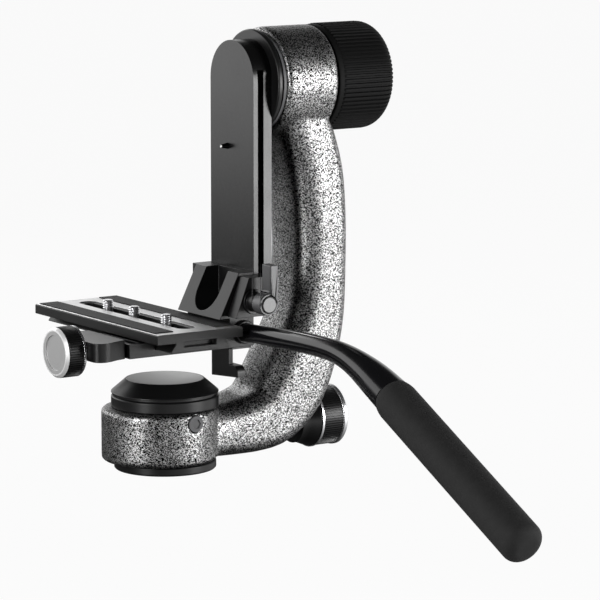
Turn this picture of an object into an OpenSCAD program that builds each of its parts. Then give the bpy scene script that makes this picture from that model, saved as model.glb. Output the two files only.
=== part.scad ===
// Gimbal head for long lenses, with a cast C-shaped arm, a swinging rail and a pan handle.
// Origin: centre of the tripod face. +Z up, the tilt axis runs along +X, the lens points along +Y.

/* [Base and housing] */
// Diameter of the disc that stands on the tripod
base_d = 57; // [55:0.5:60]
// Thickness of that disc
base_h = 5; // [4.5:0.1:6]
// Core diameter of the tripod thread
tripod_d = 8.4; // [7:0.1:9]
// Depth of the tripod thread
tripod_depth = 11; // [9:0.5:11.5]
// Diameter of the cast housing round the pan bearings
housing_d = 64.6; // [63:0.2:68]
// How far the housing lies off the pan axis, away from the arm
housing_shift = 3.7; // [1.5:0.1:4]
// Height of the housing's top
housing_top = 35; // [34.5:0.1:38]
// Gap between the disc and the housing
running_gap = 0.4; // [0.2:0.05:0.6]
// Diameter of the ring on the housing
bezel_d = 60; // [58:0.5:62]
// Height of that ring
bezel_h = 6.6; // [6:0.1:8]
// Height of the bevelled cap with its neck
cap_h = 8.9; // [8:0.1:10]
// Diameter of the cap's flat top
cap_top_d = 44; // [40:0.5:48]

/* [Arm] */
// Reach of the arm's outer side from the pan axis
arm_reach = 111.5; // [109:0.5:114]
// Height of the tilt axis
tilt_z = 213; // [206:0.5:220]
// Width of the arm
arm_w = 44; // [40:0.5:46]
// Thickness of the arm at its middle
arm_t = 31; // [29:0.5:33]
// Radius of the arm's long edges on the outer side
arm_edge_r = 8; // [5:0.5:9]
// Radius of the arm's long edges on the inner side
arm_inner_r = 13; // [11:0.5:14]
// Diameter of the tilt hub
hub_d = 60; // [59:0.5:62]
// Distance from the pan axis to the hub's inner face
hub_x = 63.7; // [63.7:0.1:65]
// Length of the tilt hub
hub_len = 34; // [33:0.5:36]

/* [Swinging rail] */
// Distance from the pan axis to the rail's front face
rail_x = 45; // [44:0.2:45.6]
// Width of the rail
rail_w = 44; // [42:0.5:46]
// Height of the rail's lower end
rail_bottom = 62; // [60:0.5:64]
// Height above the tilt axis at which the rail's side grooves end
rail_groove_end = 8; // [6:0.5:10]
// Height of the step that frees the jaw's foot at the rail's lower near corner
rail_step_rise = 25; // [23:0.5:26]
// Thickness of the rail's front plate
rail_front_t = 2.8; // [2.4:0.1:3.2]
// Width of the groove along the rail's side
rail_groove_w = 4.2; // [3.8:0.1:4.6]
// Depth of that groove
rail_groove_depth = 8; // [6:0.2:10]
// Thickness of the rail's back plate
rail_back_t = 5.3; // [4.8:0.1:5.6]
// Diameter of the flat disc behind the rail
tilt_disc_d = 58; // [56:0.5:60]

/* [Knobs] */
// Diameter of the tilt knob
tilt_knob_d = 61; // [58:0.5:63]
// Length of the tilt knob
tilt_knob_len = 40; // [37:0.5:43]
// Number of ribs round the tilt knob
tilt_knob_ribs = 66; // [48:1:80]
// Diameter of the pan lock knob
pan_knob_d = 35; // [30:0.5:36]
// Length of the pan lock knob with its two rings
pan_knob_len = 17.6; // [16:0.2:19]
// Height of the pan lock knob's axis
pan_lock_z = 18.5; // [18.2:0.1:19]
// Diameter of the clamp knob
clamp_knob_d = 28; // [25:0.5:29]
// Length of the clamp knob
clamp_knob_len = 12.5; // [11:0.5:14]
// Number of teeth in the fine grip of the small knobs
knurl_count = 54; // [40:1:64]

/* [Platform] */
// Height of the quick plate's top
plate_top_z = 82; // [81:0.2:83]
// Thickness of the platform's leg
leg_t = 3.6; // [3.2:0.1:4.4]
// Reach of the leg from the pan axis, away from the arm
leg_reach = 36; // [34:0.5:40]
// Width of the platform
platform_w = 44; // [40:0.5:44]
// Height of the bracket's top
bracket_top = 109; // [106:0.5:112]
// Thickness of the bracket's wall at its top
wall_t = 10; // [9:0.2:11]
// How far the bracket's front spreads at its foot
rib_spread = 12.5; // [10:0.5:13]
// Width of the U-shaped pocket in the bracket
pocket_w = 22; // [18:0.5:24]
// Thickness of the rail jaw on the photographer's side
jaw_w = 9; // [8:0.5:10]

/* [Quick plate] */
// Length of the quick plate
plate_len = 133.5; // [120:0.5:140]
// Distance from the tilt axis back to the plate's near end
plate_back = 37.5; // [30:0.5:40]
// Width of the quick plate
plate_w = 55; // [53:0.2:56]
// Thickness of its flange
flange_t = 5.6; // [5:0.1:6]
// Width of its dovetail foot
foot_w = 38; // [37.6:0.1:38.4]
// Height of that foot
foot_h = 5.1; // [4.8:0.1:5.4]
// Diameter of the camera screws
camera_screw_d = 6.35; // [5.6:0.05:6.6]

/* [Handle] */
// Diameter of the handle's bar
bar_d = 10.5; // [9:0.1:11]
// Distance from the bar's axis to the pan axis
bar_x = 38; // [37:0.5:39]
// Height of the bar's axis
bar_z = 76; // [75.5:0.1:76.5]
// Length of the straight bar
bar_len = 97; // [85:1:105]
// Radius of the bend
bend_r = 70; // [60:1:90]
// Angle of the bend
bend_angle = 27; // [20:1:30]
// Diameter of the grip
grip_d = 23; // [20:0.5:26]
// Length of the grip
grip_len = 132; // [110:1:140]

/* [Hidden] */
$fn = 96;

// Clearances: a running fit, a seat that is pressed together, and the overrun of every cut
run_fit = 0.05;
seat_fit = 0.02;
free_gap = 0.3;
over = 1;
// Corner rounding of small machined pieces
small_r = 0.6;

// Ball bearings, one size for all four places
bearing_in_r = 10;
bearing_out_r = 16;
bearing_w = 7;
ball_r = 1.9;
ball_count = 12;
race_pitch_r = (bearing_in_r + bearing_out_r) / 2;
race_wall = 1.8;
spindle_step = 2;
pan_bearing_step = 16;
tilt_bearing_step = 12;
pan_bearing_low = base_h + spindle_step;
pan_bearing_high = pan_bearing_low + pan_bearing_step;
housing_r = housing_d / 2;
bore_r = bearing_out_r + seat_fit;
shelf_r = bearing_out_r - spindle_step;
spindle_r = bearing_in_r - seat_fit;
spindle_foot_r = bearing_in_r + spindle_step;
spindle_top = pan_bearing_high + bearing_w;
thread_r = 7;
nut_r = 11;
nut_h = 5;
washer_t = 0.8;

// Rings on top of the housing
bezel_r = bezel_d / 2;
bezel_top = housing_top + bezel_h;
cap_neck_h = 1.4;
cap_top = bezel_top + cap_h;
cap_disc_t = 1.2;
cap_disc_r = cap_top_d / 2 - small_r;
bezel_ring_w = 6;
cap_skirt_r = bezel_r - bezel_ring_w;
plug_r = 4.5;
plug_flange_t = 0.8;
plug_len = 6;
plug_drop = 5.6;
plug_z = housing_top - plug_drop;
plug_y = -sqrt(pow(housing_r, 2) - pow(housing_shift, 2));

// Tilt axis, from the rail outwards
front_back_x = rail_x + rail_front_t;
groove_back_x = front_back_x + rail_groove_w;
rail_back_x = groove_back_x + rail_back_t;
disc_t = 3;
disc_end_x = rail_back_x + disc_t;
seal_t = 2;
seal_step = 2.4;
seal_w = 6;
seal_r = hub_d / 2 - seal_step;
tilt_flange_step = 2.6;
tilt_flange_r = seal_r - tilt_flange_step;
flange_end_x = hub_x - seal_t - free_gap;
hub_end_x = hub_x + hub_len;
tilt_bearing_depth = 2.5;
tilt_bearing_1 = hub_x + tilt_bearing_depth;
tilt_bearing_2 = tilt_bearing_1 + tilt_bearing_step;
hub_wall = 5.5;
brake_r = hub_d / 2 - hub_wall;
brake_t = 2.6;
tilt_nut_t = 1.4;
brake_travel = 0.4;
brake_pocket_x = tilt_bearing_2 + bearing_w + tilt_nut_t + seat_fit;
brake_x = brake_pocket_x + brake_travel + run_fit;
knob_x = hub_end_x + free_gap;
knob_end_x = knob_x + tilt_knob_len;
tilt_thread_r = 6;
knob_end_wall = 12;
tilt_shaft_end = knob_end_x - knob_end_wall;

// Pan lock, along +X through the foot of the arm
rod_r = 3.2;
rod_hole_r = rod_r + free_gap;
pad_t = 5;
pad_r = 3;
pad_gap = 0.4;
pad_x = spindle_r + pad_gap;
rod_x = pad_x + pad_t + free_gap;
collar_reach = 27.5;
collar_x = arm_reach - collar_reach;
collar_len = 10.5;
collar_seat = 3;
collar_flare = 3.5;
collar_r = pan_knob_d / 2 - collar_flare;
pan_knob_x = collar_x + collar_len + running_gap;
ring_t = 1.5;
ring_step = 0.5;
pan_outer_ring_t = 3;
knob_bore_r = rod_r + seat_fit;

// Platform, plate and clamp
rail_hw = rail_w / 2;
platform_hw = platform_w / 2;
plate_bottom_z = plate_top_z - flange_t;
foot_bottom_z = plate_bottom_z - foot_h;
leg_top_z = foot_bottom_z - free_gap / 2;
leg_bottom_z = leg_top_z - leg_t;
plate_hw = plate_w / 2;
foot_hw = foot_w / 2;
foot_slope = 3.1;
neck_hw = foot_hw - foot_slope;
lip_h = foot_h - small_r;
slide_gap = 0.1;
wall_back_x = rail_x - slide_gap;
wall_front_x = wall_back_x - wall_t;
step_rise = 2;
step_gap = 1.4;
rib_foot_z = plate_top_z + step_rise;
rib_foot_x = wall_front_x - rib_spread;
step_x = plate_hw + step_gap;
far_jaw_t = 4.6;
lip_t = rail_groove_w - 2 * free_gap;
lip_gap = 1;
lip_len = rail_groove_depth - lip_gap;
lip_x = front_back_x + free_gap;
pocket_r = pocket_w / 2;
pocket_lift = 2.5;
pocket_floor_z = rib_foot_z + pocket_lift;
pocket_depth = 8;
jaw_travel = 0.4;
jaw_split_y = -platform_hw - jaw_travel;
jaw_end_y = jaw_split_y - jaw_w;
jaw_inset = 1.5;
jaw_foot_step = 4.6;
jaw_foot_z = rib_foot_z + jaw_inset;
jaw_top_z = bracket_top - jaw_inset;
lever_shift = 0.7;
lever_drop = 2.3;
lever_x = bar_x + lever_shift;
lever_z = (jaw_foot_z + jaw_top_z) / 2 - lever_drop;

// Lever
boss_r = 5.5;
boss_foot_r = 7;
boss_foot_t = 1.2;
boss_len = 6.5;
lever_hub_r = 6.1;
lever_hub_len = 8.7;
lever_gap = 0.25;
lever_y = jaw_end_y - boss_len - lever_gap;
lever_arm_w = 5.1;
lever_arm_len = 21.7;
button_r = 4.8;
button_out = 0.7;
button_h = 3.4;
button_travel = 1.6;
stud_r = 2.5;
stud_depth = 12;
stud_end_y = -platform_hw + stud_depth;
spring_wire_r = 0.22;
spring_r = 2.3;
spring_turns = 3;
spring_len = 2.5;
button_ring_w = 0.5;
lever_mouth_r = button_r + button_ring_w;
button_pocket = button_h - button_out + button_travel + 2 * run_fit;
button_hollow_r = spring_r + 2 * spring_wire_r;
button_roof_t = 0.8;

// Rail stop
stop_t = 5.4;
stop_w = 27;
stop_bottom_z = 44.5;
stop_top_z = 53;
tongue_w = 18;
stop_round = 4;
stop_rise = 2.2;
stop_tab_gap = 0.1;
stop_tab_top_z = 73;
stop_screw_r = 1.2;
stop_screw_len = 8;
stop_screw_rise = 5;

// Clamp
nose_len = 20.3;
nose_hw = 24;
nose_round = 5;
nose_rise = 1.7;
nose_top_z = plate_bottom_z + nose_rise;
clamp_wall_t = 3.2;
clamp_wall_drop = 0.9;
clamp_wall_top_z = plate_bottom_z - clamp_wall_drop;
clamp_travel = 4;
cheek_t = 3;
cheek_gap = 0.7;
cheek_end_x = -foot_hw - cheek_gap;
jaw_gap = 1.4;
clamp_screw_z = leg_top_z + 2 * slide_gap;
clamp_screw_r = 2.5;
jaw_body_x = -leg_reach - jaw_gap;
nose_end_x = jaw_body_x - nose_len;
jaw_lip_back_x = -leg_reach + clamp_wall_t + clamp_travel + free_gap;
clamp_knob_back_x = nose_end_x - free_gap;
clamp_screw_in = leg_reach + jaw_lip_back_x - free_gap;
face_t = 1.6;
face_rim_w = 1.4;
face_rim_r = clamp_knob_d / 2 - face_rim_w;

// Plate details
plate_front = plate_len - plate_back;
slot_w = 7;
slot_inset = 13.5;
slot_recess_w = 11;
slot_recess_depth = 0.6;
counter_w = 14;
counter_depth = 3.2;
pad_strip_w = 11.8;
pad_strip_t = 1;
pad_edge = 1.9;
pad_inset = 6;
pad_far_inset = 2;
pad_sink = 0.5;
end_pocket_w = 20.7;
end_pocket_h = 3.1;
end_pocket_depth = 4;
screw_out = 4.6;
screw_head_r = 6.2;
screw_head_t = 2.6;
screw_head_z = foot_bottom_z + counter_depth - screw_head_t - run_fit;
screw_neck_step = 0.4;
screw_neck_r = camera_screw_d / 2 - screw_neck_step;
screw_thread_z = plate_top_z + 2 * slide_gap;
screw_spots_shares = [0.736, 0.522, 0.266];

// Handle
bar_depth = 8;
bar_tip_y = -platform_hw + bar_depth;
bar_y = -platform_hw;
handle_nut_r = 6.6;
handle_nut_t = 2.5;
flare_len = 14;
flare_r = 9.8;
grip_end_r = 6;

function mix(a, b, t) = a + (b - a) * t;

// A Catmull-Rom curve through a list of points, n steps between each pair
function curve_at(p, i, t) =
    let (
        a = p[max(i - 1, 0)],
        b = p[i],
        c = p[i + 1],
        d = p[min(i + 2, len(p) - 1)]
    )
    0.5 * (2 * b + (c - a) * t + (2 * a - 5 * b + 4 * c - d) * t * t + (3 * b - a - 3 * c + d) * t * t * t);

function curve(p, n) = [
    for (i = [0 : len(p) - 2]) for (s = [0 : n - 1]) curve_at(p, i, s / n),
    p[len(p) - 1]
];

// One quarter of a rounded corner, n steps
function corner(cx, cy, r, from, n) = [
    for (s = [0 : n]) [cx + r * cos(from + 90 * s / n), cy + r * sin(from + 90 * s / n)]
];

// A box section with one corner radius on its inner side and another on its outer side
function arm_box(hx, hy, r_in, r_out, n) = concat(
    corner(hx - r_in, hy - r_in, r_in, 0, n),
    corner(r_out - hx, hy - r_out, r_out, 90, n),
    corner(r_out - hx, r_out - hy, r_out, 180, n),
    corner(hx - r_in, r_in - hy, r_in, 270, n)
);

// A solid skinned over rings of points; each ring turns clockwise seen from the end it starts at
module swept(rings) {
    n = len(rings[0]);
    last = len(rings) - 1;
    polyhedron(
        points = [for (ring = rings) for (q = ring) q],
        faces = concat(
            [[for (k = [n - 1 : -1 : 0]) k]],
            [for (i = [0 : last - 1]) for (k = [0 : n - 1])
                [i * n + k, (i + 1) * n + (k + 1) % n, (i + 1) * n + k]],
            [for (i = [0 : last - 1]) for (k = [0 : n - 1])
                [i * n + k, i * n + (k + 1) % n, (i + 1) * n + (k + 1) % n]],
            [[for (k = [0 : n - 1]) last * n + k]]
        ),
        convexity = 10
    );
}

// Turns a piece drawn along +Z to lie along +X
module along_x() {
    rotate([0, 90, 0]) children();
}

// Turns a piece drawn along +Z to lie along -Y
module along_minus_y() {
    rotate([90, 0, 0]) children();
}

module tube(r_out, r_in, h) {
    difference() {
        cylinder(r = r_out, h = h);
        translate([0, 0, -over]) cylinder(r = r_in, h = h + 2 * over);
    }
}

// A disc or bar whose two end edges are bevelled by b
module bevelled(r, h, b) {
    rotate_extrude() polygon([
        [0, 0], [r - b, 0], [r, b], [r, h - b], [r - b, h], [0, h]
    ]);
}

// A knob body with count straight teeth round it
module toothed(r, h, count, depth, tooth_share = 0.5) {
    step = 360 / count;
    linear_extrude(h) polygon([
        for (i = [0 : count - 1]) for (k = [0 : 3])
            let (
                turn = step * (i + [0, tooth_share * 0.6, tooth_share, 0.5 + tooth_share * 0.5 + 0.25][k]),
                reach = k < 2 ? r : r - depth
            )
            [reach * cos(turn), reach * sin(turn)]
    ]);
}

// Bearing rings and balls, drawn from z = 0 upwards
module inner_race() {
    difference() {
        tube(race_pitch_r - race_wall / 2, bearing_in_r, bearing_w);
        translate([0, 0, bearing_w / 2])
            rotate_extrude() translate([race_pitch_r, 0]) circle(r = ball_r + run_fit, $fn = 32);
    }
}

module outer_race() {
    difference() {
        tube(bearing_out_r, race_pitch_r + race_wall / 2, bearing_w);
        translate([0, 0, bearing_w / 2])
            rotate_extrude() translate([race_pitch_r, 0]) circle(r = ball_r + run_fit, $fn = 32);
    }
}

module ball_ring() {
    for (i = [0 : ball_count - 1])
        rotate([0, 0, 360 * i / ball_count])
            translate([race_pitch_r, 0, bearing_w / 2]) sphere(r = ball_r, $fn = 24);
}

module at_pan_bearings() {
    for (z = [pan_bearing_low, pan_bearing_high])
        translate([0, 0, z]) children();
}

module at_tilt_axis(x) {
    translate([x, 0, tilt_z]) along_x() children();
}

module at_tilt_bearings() {
    for (x = [tilt_bearing_1, tilt_bearing_2])
        at_tilt_axis(x) children();
}

module at_pan_lock(x) {
    translate([x, 0, pan_lock_z]) along_x() children();
}

// The disc that the tripod screw pulls against, with its insert's seat
insert_wall = 1.6;
insert_r = tripod_d / 2 + insert_wall;
base_bevel = 0.8;
base_screw_ring_r = 8.3;
base_screw_r = 1.25;
base_screw_head_r = 2.3;
base_screw_len = 9;
base_screw_head_h = 1.5;

module at_base_screws() {
    for (turn = [0 : 120 : 240])
        rotate([0, 0, turn + 30]) translate([base_screw_ring_r, 0, 0]) children();
}

module base_plate() {
    color([0.10, 0.10, 0.11])
    difference() {
        bevelled(base_d / 2, base_h, base_bevel);
        translate([0, 0, -over]) cylinder(r = insert_r + seat_fit, h = base_h + 2 * over);
        at_base_screws() translate([0, 0, -over]) cylinder(r = base_screw_r + seat_fit, h = base_h + 2 * over);
        at_base_screws() translate([0, 0, -over])
            cylinder(r = base_screw_head_r + run_fit, h = base_screw_head_h + over + run_fit);
    }
}

module tripod_insert() {
    color([0.72, 0.72, 0.74])
    difference() {
        cylinder(r = insert_r, h = tripod_depth);
        translate([0, 0, -over]) cylinder(r = tripod_d / 2, h = tripod_depth + 2 * over);
    }
}

module pan_spindle() {
    color([0.62, 0.63, 0.65])
    difference() {
        union() {
            translate([0, 0, base_h]) cylinder(r = spindle_foot_r, h = pan_bearing_low - base_h);
            translate([0, 0, base_h]) cylinder(r = spindle_r, h = spindle_top - base_h);
            translate([0, 0, base_h]) cylinder(r = thread_r, h = spindle_top + washer_t + nut_h - base_h);
        }
        translate([0, 0, -over]) cylinder(r = insert_r + seat_fit, h = tripod_depth + seat_fit + over);
        at_base_screws() cylinder(r = base_screw_r + seat_fit, h = base_screw_len + seat_fit);
    }
}

module base_screws() {
    color([0.55, 0.56, 0.58])
    at_base_screws() union() {
        cylinder(r = base_screw_head_r, h = base_screw_head_h);
        cylinder(r = base_screw_r, h = base_screw_len);
    }
}

module pan_inner_races() {
    color([0.78, 0.79, 0.80]) at_pan_bearings() inner_race();
}

module pan_balls() {
    color([0.85, 0.86, 0.87]) at_pan_bearings() ball_ring();
}

module pan_washer() {
    color([0.70, 0.70, 0.72])
    translate([0, 0, spindle_top]) tube(nut_r, thread_r + seat_fit, washer_t);
}

module pan_nut() {
    color([0.50, 0.51, 0.53])
    translate([0, 0, spindle_top + washer_t])
    difference() {
        cylinder(r = nut_r, h = nut_h, $fn = 6);
        translate([0, 0, -over]) cylinder(r = thread_r + seat_fit, h = nut_h + 2 * over);
    }
}

// The arm: a rounded section swept along a curve from the housing to the tilt hub.
// Shares of the arm's reach, of the tilt axis's height and of the arm's thickness.
arm_path_shares = [
    [0.110, 0.095, 0.911],
    [0.299, 0.094, 0.945],
    [0.464, 0.103, 1.064],
    [0.580, 0.124, 1.179],
    [0.683, 0.182, 1.302],
    [0.771, 0.275, 1.237],
    [0.835, 0.379, 1.074],
    [0.856, 0.511, 0.996],
    [0.854, 0.639, 1.011],
    [0.831, 0.756, 1.033],
    [0.775, 0.859, 1.006],
    [0.703, 0.942, 0.923]
];
arm_steps = 3;
arm_corner_steps = 7;

function arm_stations() = curve([
    for (s = arm_path_shares) [s[0] * arm_reach, s[1] * tilt_z, s[2] * arm_t / 2]
], arm_steps);

// The section at station i, square to the curve
function arm_section(stations, i) =
    let (
        here = stations[i],
        before = stations[max(i - 1, 0)],
        after = stations[min(i + 1, len(stations) - 1)],
        run = norm([after[0] - before[0], after[1] - before[1]]),
        across = [(before[1] - after[1]) / run, (after[0] - before[0]) / run]
    )
    [
        for (q = arm_box(here[2], arm_w / 2, arm_inner_r, arm_edge_r, arm_corner_steps))
            [here[0] + across[0] * q[0], q[1], here[1] + across[1] * q[0]]
    ];

module swept_arm() {
    stations = arm_stations();
    swept([for (i = [0 : len(stations) - 1]) arm_section(stations, i)]);
}

housing_bottom = base_h + running_gap;
housing_bevel = 1.5;

module c_arm() {
    color([0.20, 0.20, 0.21])
    difference() {
        union() {
            translate([-housing_shift, 0, housing_bottom])
                bevelled(housing_r, housing_top - housing_bottom, housing_bevel);
            swept_arm();
            at_tilt_axis(hub_x) bevelled(hub_d / 2, hub_len, housing_bevel);
        }
        // Pan bearings, their shelf, and the nut's room above them
        translate([0, 0, housing_bottom - over])
            cylinder(r = bore_r, h = pan_bearing_low + bearing_w - housing_bottom + over);
        translate([0, 0, housing_bottom]) cylinder(r = shelf_r, h = housing_top);
        translate([0, 0, pan_bearing_high]) cylinder(r = bore_r, h = housing_top);
        // Tilt bearings from both sides, and the brake disc's pocket
        at_tilt_axis(hub_x - over) cylinder(r = bore_r, h = tilt_bearing_1 + bearing_w - hub_x + over);
        at_tilt_axis(hub_x) cylinder(r = shelf_r, h = hub_len);
        at_tilt_axis(tilt_bearing_2) cylinder(r = bore_r, h = hub_len);
        at_tilt_axis(brake_pocket_x) cylinder(r = brake_r + run_fit, h = hub_len);
        // Pan lock rod, and the seat of its collar
        at_pan_lock(0) cylinder(r = rod_hole_r, h = arm_reach);
        at_pan_lock(collar_x) cylinder(r = collar_r + seat_fit, h = arm_reach);
        at_pan_lock(collar_x + collar_seat) cylinder(
            r1 = collar_r + free_gap, r2 = pan_knob_d / 2 + free_gap, h = collar_len - collar_seat
        );
        at_pan_lock(collar_x + collar_len) cylinder(r = pan_knob_d / 2 + free_gap, h = arm_reach);
        // Room for the disc behind the rail
        at_tilt_axis(rail_back_x) cylinder(r = tilt_disc_d / 2 + free_gap, h = hub_x - rail_back_x);
        // Room for the tilt knob where the arm's back passes its edge
        at_tilt_axis(hub_end_x) cylinder(r = tilt_knob_d / 2 + free_gap, h = arm_reach);
        // Plug in the housing's side
        translate([0, plug_y + plug_len, plug_z])
            along_minus_y() cylinder(r = plug_r + seat_fit, h = plug_len + housing_shift);
    }
}

module pan_outer_races() {
    color([0.74, 0.75, 0.76]) at_pan_bearings() outer_race();
}

module bezel_ring() {
    color([0.07, 0.07, 0.08])
    translate([0, 0, housing_top])
    difference() {
        bevelled(bezel_r, bezel_h, small_r);
        translate([0, 0, -over]) cylinder(r = cap_skirt_r + run_fit, h = bezel_h + 2 * over);
    }
}

// The cap's skirt reaches down inside the ring
cap_skirt_t = 3;
cap_skirt_len = bezel_h - small_r;

module cap() {
    color([0.09, 0.09, 0.10])
    translate([0, 0, bezel_top])
    difference() {
        rotate_extrude() polygon([
            [cap_skirt_r - cap_skirt_t, -cap_skirt_len],
            [cap_skirt_r, -cap_skirt_len],
            [cap_skirt_r, 0],
            [bezel_r - 2 * small_r, 0],
            [bezel_r - 2 * small_r, cap_neck_h],
            [bezel_r, cap_neck_h],
            [bezel_r, cap_neck_h + small_r],
            [cap_top_d / 2, cap_h],
            [0, cap_h],
            [0, cap_neck_h],
            [cap_skirt_r - cap_skirt_t, cap_neck_h]
        ]);
        translate([0, 0, cap_h - cap_disc_t]) cylinder(r = cap_disc_r + seat_fit, h = cap_disc_t + over);
    }
}

module cap_disc() {
    color([0.42, 0.42, 0.44])
    translate([0, 0, cap_top - cap_disc_t]) cylinder(r = cap_disc_r, h = cap_disc_t);
}

module side_plug() {
    color([0.12, 0.12, 0.13])
    translate([0, plug_y + plug_len, plug_z]) along_minus_y()
    difference() {
        cylinder(r = plug_r, h = plug_len + plug_flange_t);
        translate([0, 0, plug_len]) cylinder(r = plug_r - 2 * plug_flange_t, h = plug_len, $fn = 6);
    }
}

module tilt_outer_races() {
    color([0.74, 0.75, 0.76]) at_tilt_bearings() outer_race();
}

module hub_seal() {
    color([0.35, 0.35, 0.37])
    at_tilt_axis(hub_x - seal_t) tube(seal_r, seal_r - seal_w, seal_t);
}

module pan_knob_collar() {
    color([0.06, 0.06, 0.07])
    at_pan_lock(collar_x)
    difference() {
        rotate_extrude() polygon([
            [0, 0], [collar_r, 0], [collar_r, collar_seat],
            [pan_knob_d / 2 - ring_step, collar_len], [0, collar_len]
        ]);
        translate([0, 0, -over]) cylinder(r = rod_hole_r, h = collar_len + 2 * over);
    }
}

// Pan lock knob: a toothed body between two bright rings
pan_grip_len = pan_knob_len - ring_t - pan_outer_ring_t;

module pan_lock_knob() {
    color([0.08, 0.08, 0.09])
    difference() {
        union() {
            at_pan_lock(pan_knob_x + ring_t)
                toothed(pan_knob_d / 2 - ring_step, pan_grip_len, knurl_count, ring_step);
            at_pan_lock(pan_knob_x) cylinder(r = pan_knob_d / 4, h = pan_knob_len);
        }
        at_pan_lock(pan_knob_x - over) cylinder(r = knob_bore_r, h = pan_knob_len - ring_t + over);
    }
}

module pan_knob_rings() {
    color([0.80, 0.80, 0.82]) {
        at_pan_lock(pan_knob_x) tube(pan_knob_d / 2, pan_knob_d / 4 + seat_fit, ring_t);
        at_pan_lock(pan_knob_x + pan_knob_len - pan_outer_ring_t)
            difference() {
                bevelled(pan_knob_d / 2, pan_outer_ring_t, small_r);
                translate([0, 0, -over])
                    cylinder(r = pan_knob_d / 4 + seat_fit, h = pan_outer_ring_t + 2 * over);
            }
    }
}

module pan_lock_rod() {
    color([0.66, 0.67, 0.69])
    at_pan_lock(rod_x) cylinder(r = rod_r, h = pan_knob_x + pan_knob_len - ring_t - rod_x - run_fit);
}

module pan_brake_pad() {
    color([0.55, 0.42, 0.20])
    difference() {
        at_pan_lock(spindle_r / 2) cylinder(r = pad_r, h = pad_x + pad_t - spindle_r / 2);
        cylinder(r = pad_x, h = housing_top);
    }
}

// Tilt axis
module tilt_shaft() {
    color([0.66, 0.67, 0.69])
    union() {
        at_tilt_axis(groove_back_x) cylinder(r = shaft_spigot_r, h = rail_back_t + over);
        at_tilt_axis(rail_back_x) cylinder(r = spindle_r, h = brake_pocket_x - rail_back_x);
        at_tilt_axis(brake_pocket_x) cylinder(r = tilt_thread_r, h = tilt_shaft_end - brake_pocket_x);
        at_tilt_axis(flange_end_x) cylinder(r = spindle_foot_r, h = tilt_bearing_1 - flange_end_x - seat_fit);
    }
}

// The disc behind the rail is screwed to it from behind; the heads lie sunk in the disc
shaft_spigot_r = 9;
rail_screw_ring_r = 16;
rail_screw_r = 2;
rail_screw_depth = 7;
rail_screw_head_r = 3.6;
rail_screw_head_t = 2;

module at_rail_screws(x) {
    for (turn = [45 : 90 : 315])
        at_tilt_axis(x) rotate([0, 0, turn]) translate([rail_screw_ring_r, 0, 0]) children();
}

module tilt_disc() {
    color([0.08, 0.08, 0.09])
    difference() {
        at_tilt_axis(rail_back_x) bevelled(tilt_disc_d / 2, disc_t, small_r);
        at_tilt_axis(rail_back_x - over) cylinder(r = spindle_r + seat_fit, h = disc_t + 2 * over);
        at_rail_screws(rail_back_x - over) cylinder(r = rail_screw_r + seat_fit, h = disc_t + over);
        at_rail_screws(disc_end_x - rail_screw_head_t)
            cylinder(r = rail_screw_head_r + run_fit, h = rail_screw_head_t + over);
    }
}

module tilt_flange() {
    color([0.09, 0.09, 0.10])
    at_tilt_axis(disc_end_x) tube(tilt_flange_r, spindle_r + seat_fit, flange_end_x - disc_end_x);
}

// Rail section, drawn with the rail's width along Y and its depth along X
module rail_section() {
    polygon([
        [rail_x, -rail_hw], [front_back_x, -rail_hw],
        [front_back_x, rail_groove_depth - rail_hw], [groove_back_x, rail_groove_depth - rail_hw],
        [groove_back_x, small_r - rail_hw], [rail_back_x, small_r - rail_hw],
        [rail_back_x, rail_hw - small_r], [groove_back_x, rail_hw - small_r],
        [groove_back_x, rail_hw - rail_groove_depth], [front_back_x, rail_hw - rail_groove_depth],
        [front_back_x, rail_hw], [rail_x, rail_hw]
    ]);
}

rail_top_rise = 1.5;

module swing_rail() {
    color([0.10, 0.10, 0.11])
    difference() {
        intersection() {
            union() {
                translate([0, 0, rail_bottom])
                    linear_extrude(tilt_z + rail_top_rise + rail_hw - rail_bottom) rail_section();
                translate([rail_x, -rail_hw, tilt_z + rail_groove_end])
                    cube([groove_back_x - rail_x, rail_w, rail_top_rise + rail_hw - rail_groove_end]);
            }
            union() {
                translate([rail_x, -rail_hw, rail_bottom])
                    cube([rail_back_x - rail_x, rail_w, tilt_z + rail_top_rise - rail_bottom]);
                translate([0, 0, rail_top_rise]) at_tilt_axis(rail_x) cylinder(r = rail_hw, h = rail_back_x - rail_x);
            }
        }
        // Step at the lower near corner
        translate([rail_x - over, -rail_hw - over, rail_bottom - over])
            cube([rail_back_x - rail_x + 2 * over, rail_hw + over, rail_step_rise + over]);
        // Seat of the tilt shaft, and the disc's screws, all from behind
        at_tilt_axis(groove_back_x) cylinder(r = shaft_spigot_r + seat_fit, h = rail_back_t + over);
        at_rail_screws(rail_back_x - rail_screw_depth)
            cylinder(r = rail_screw_r + seat_fit, h = rail_screw_depth + over);
        // Seat of the small pin on the front face
        translate([rail_x - over, pin_y, pin_z]) along_x() cylinder(r = pin_r + seat_fit, h = over + pin_seat);
        // Hole of the stop's screw, from the lens side
        at_stop_screw() cylinder(r = stop_screw_r + seat_fit, h = stop_screw_len + run_fit);
    }
}

module rail_screws() {
    color([0.45, 0.46, 0.48]) {
        at_rail_screws(disc_end_x - rail_screw_head_t) cylinder(r = rail_screw_head_r, h = rail_screw_head_t);
        at_rail_screws(rail_back_x - rail_screw_depth + run_fit)
            cylinder(r = rail_screw_r, h = rail_screw_depth + disc_t - rail_screw_head_t);
    }
}

pin_y = 4.6;
pin_drop = 36;
pin_z = tilt_z - pin_drop;
pin_r = 1.8;
pin_out = 4.5;
pin_seat = 3;

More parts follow.
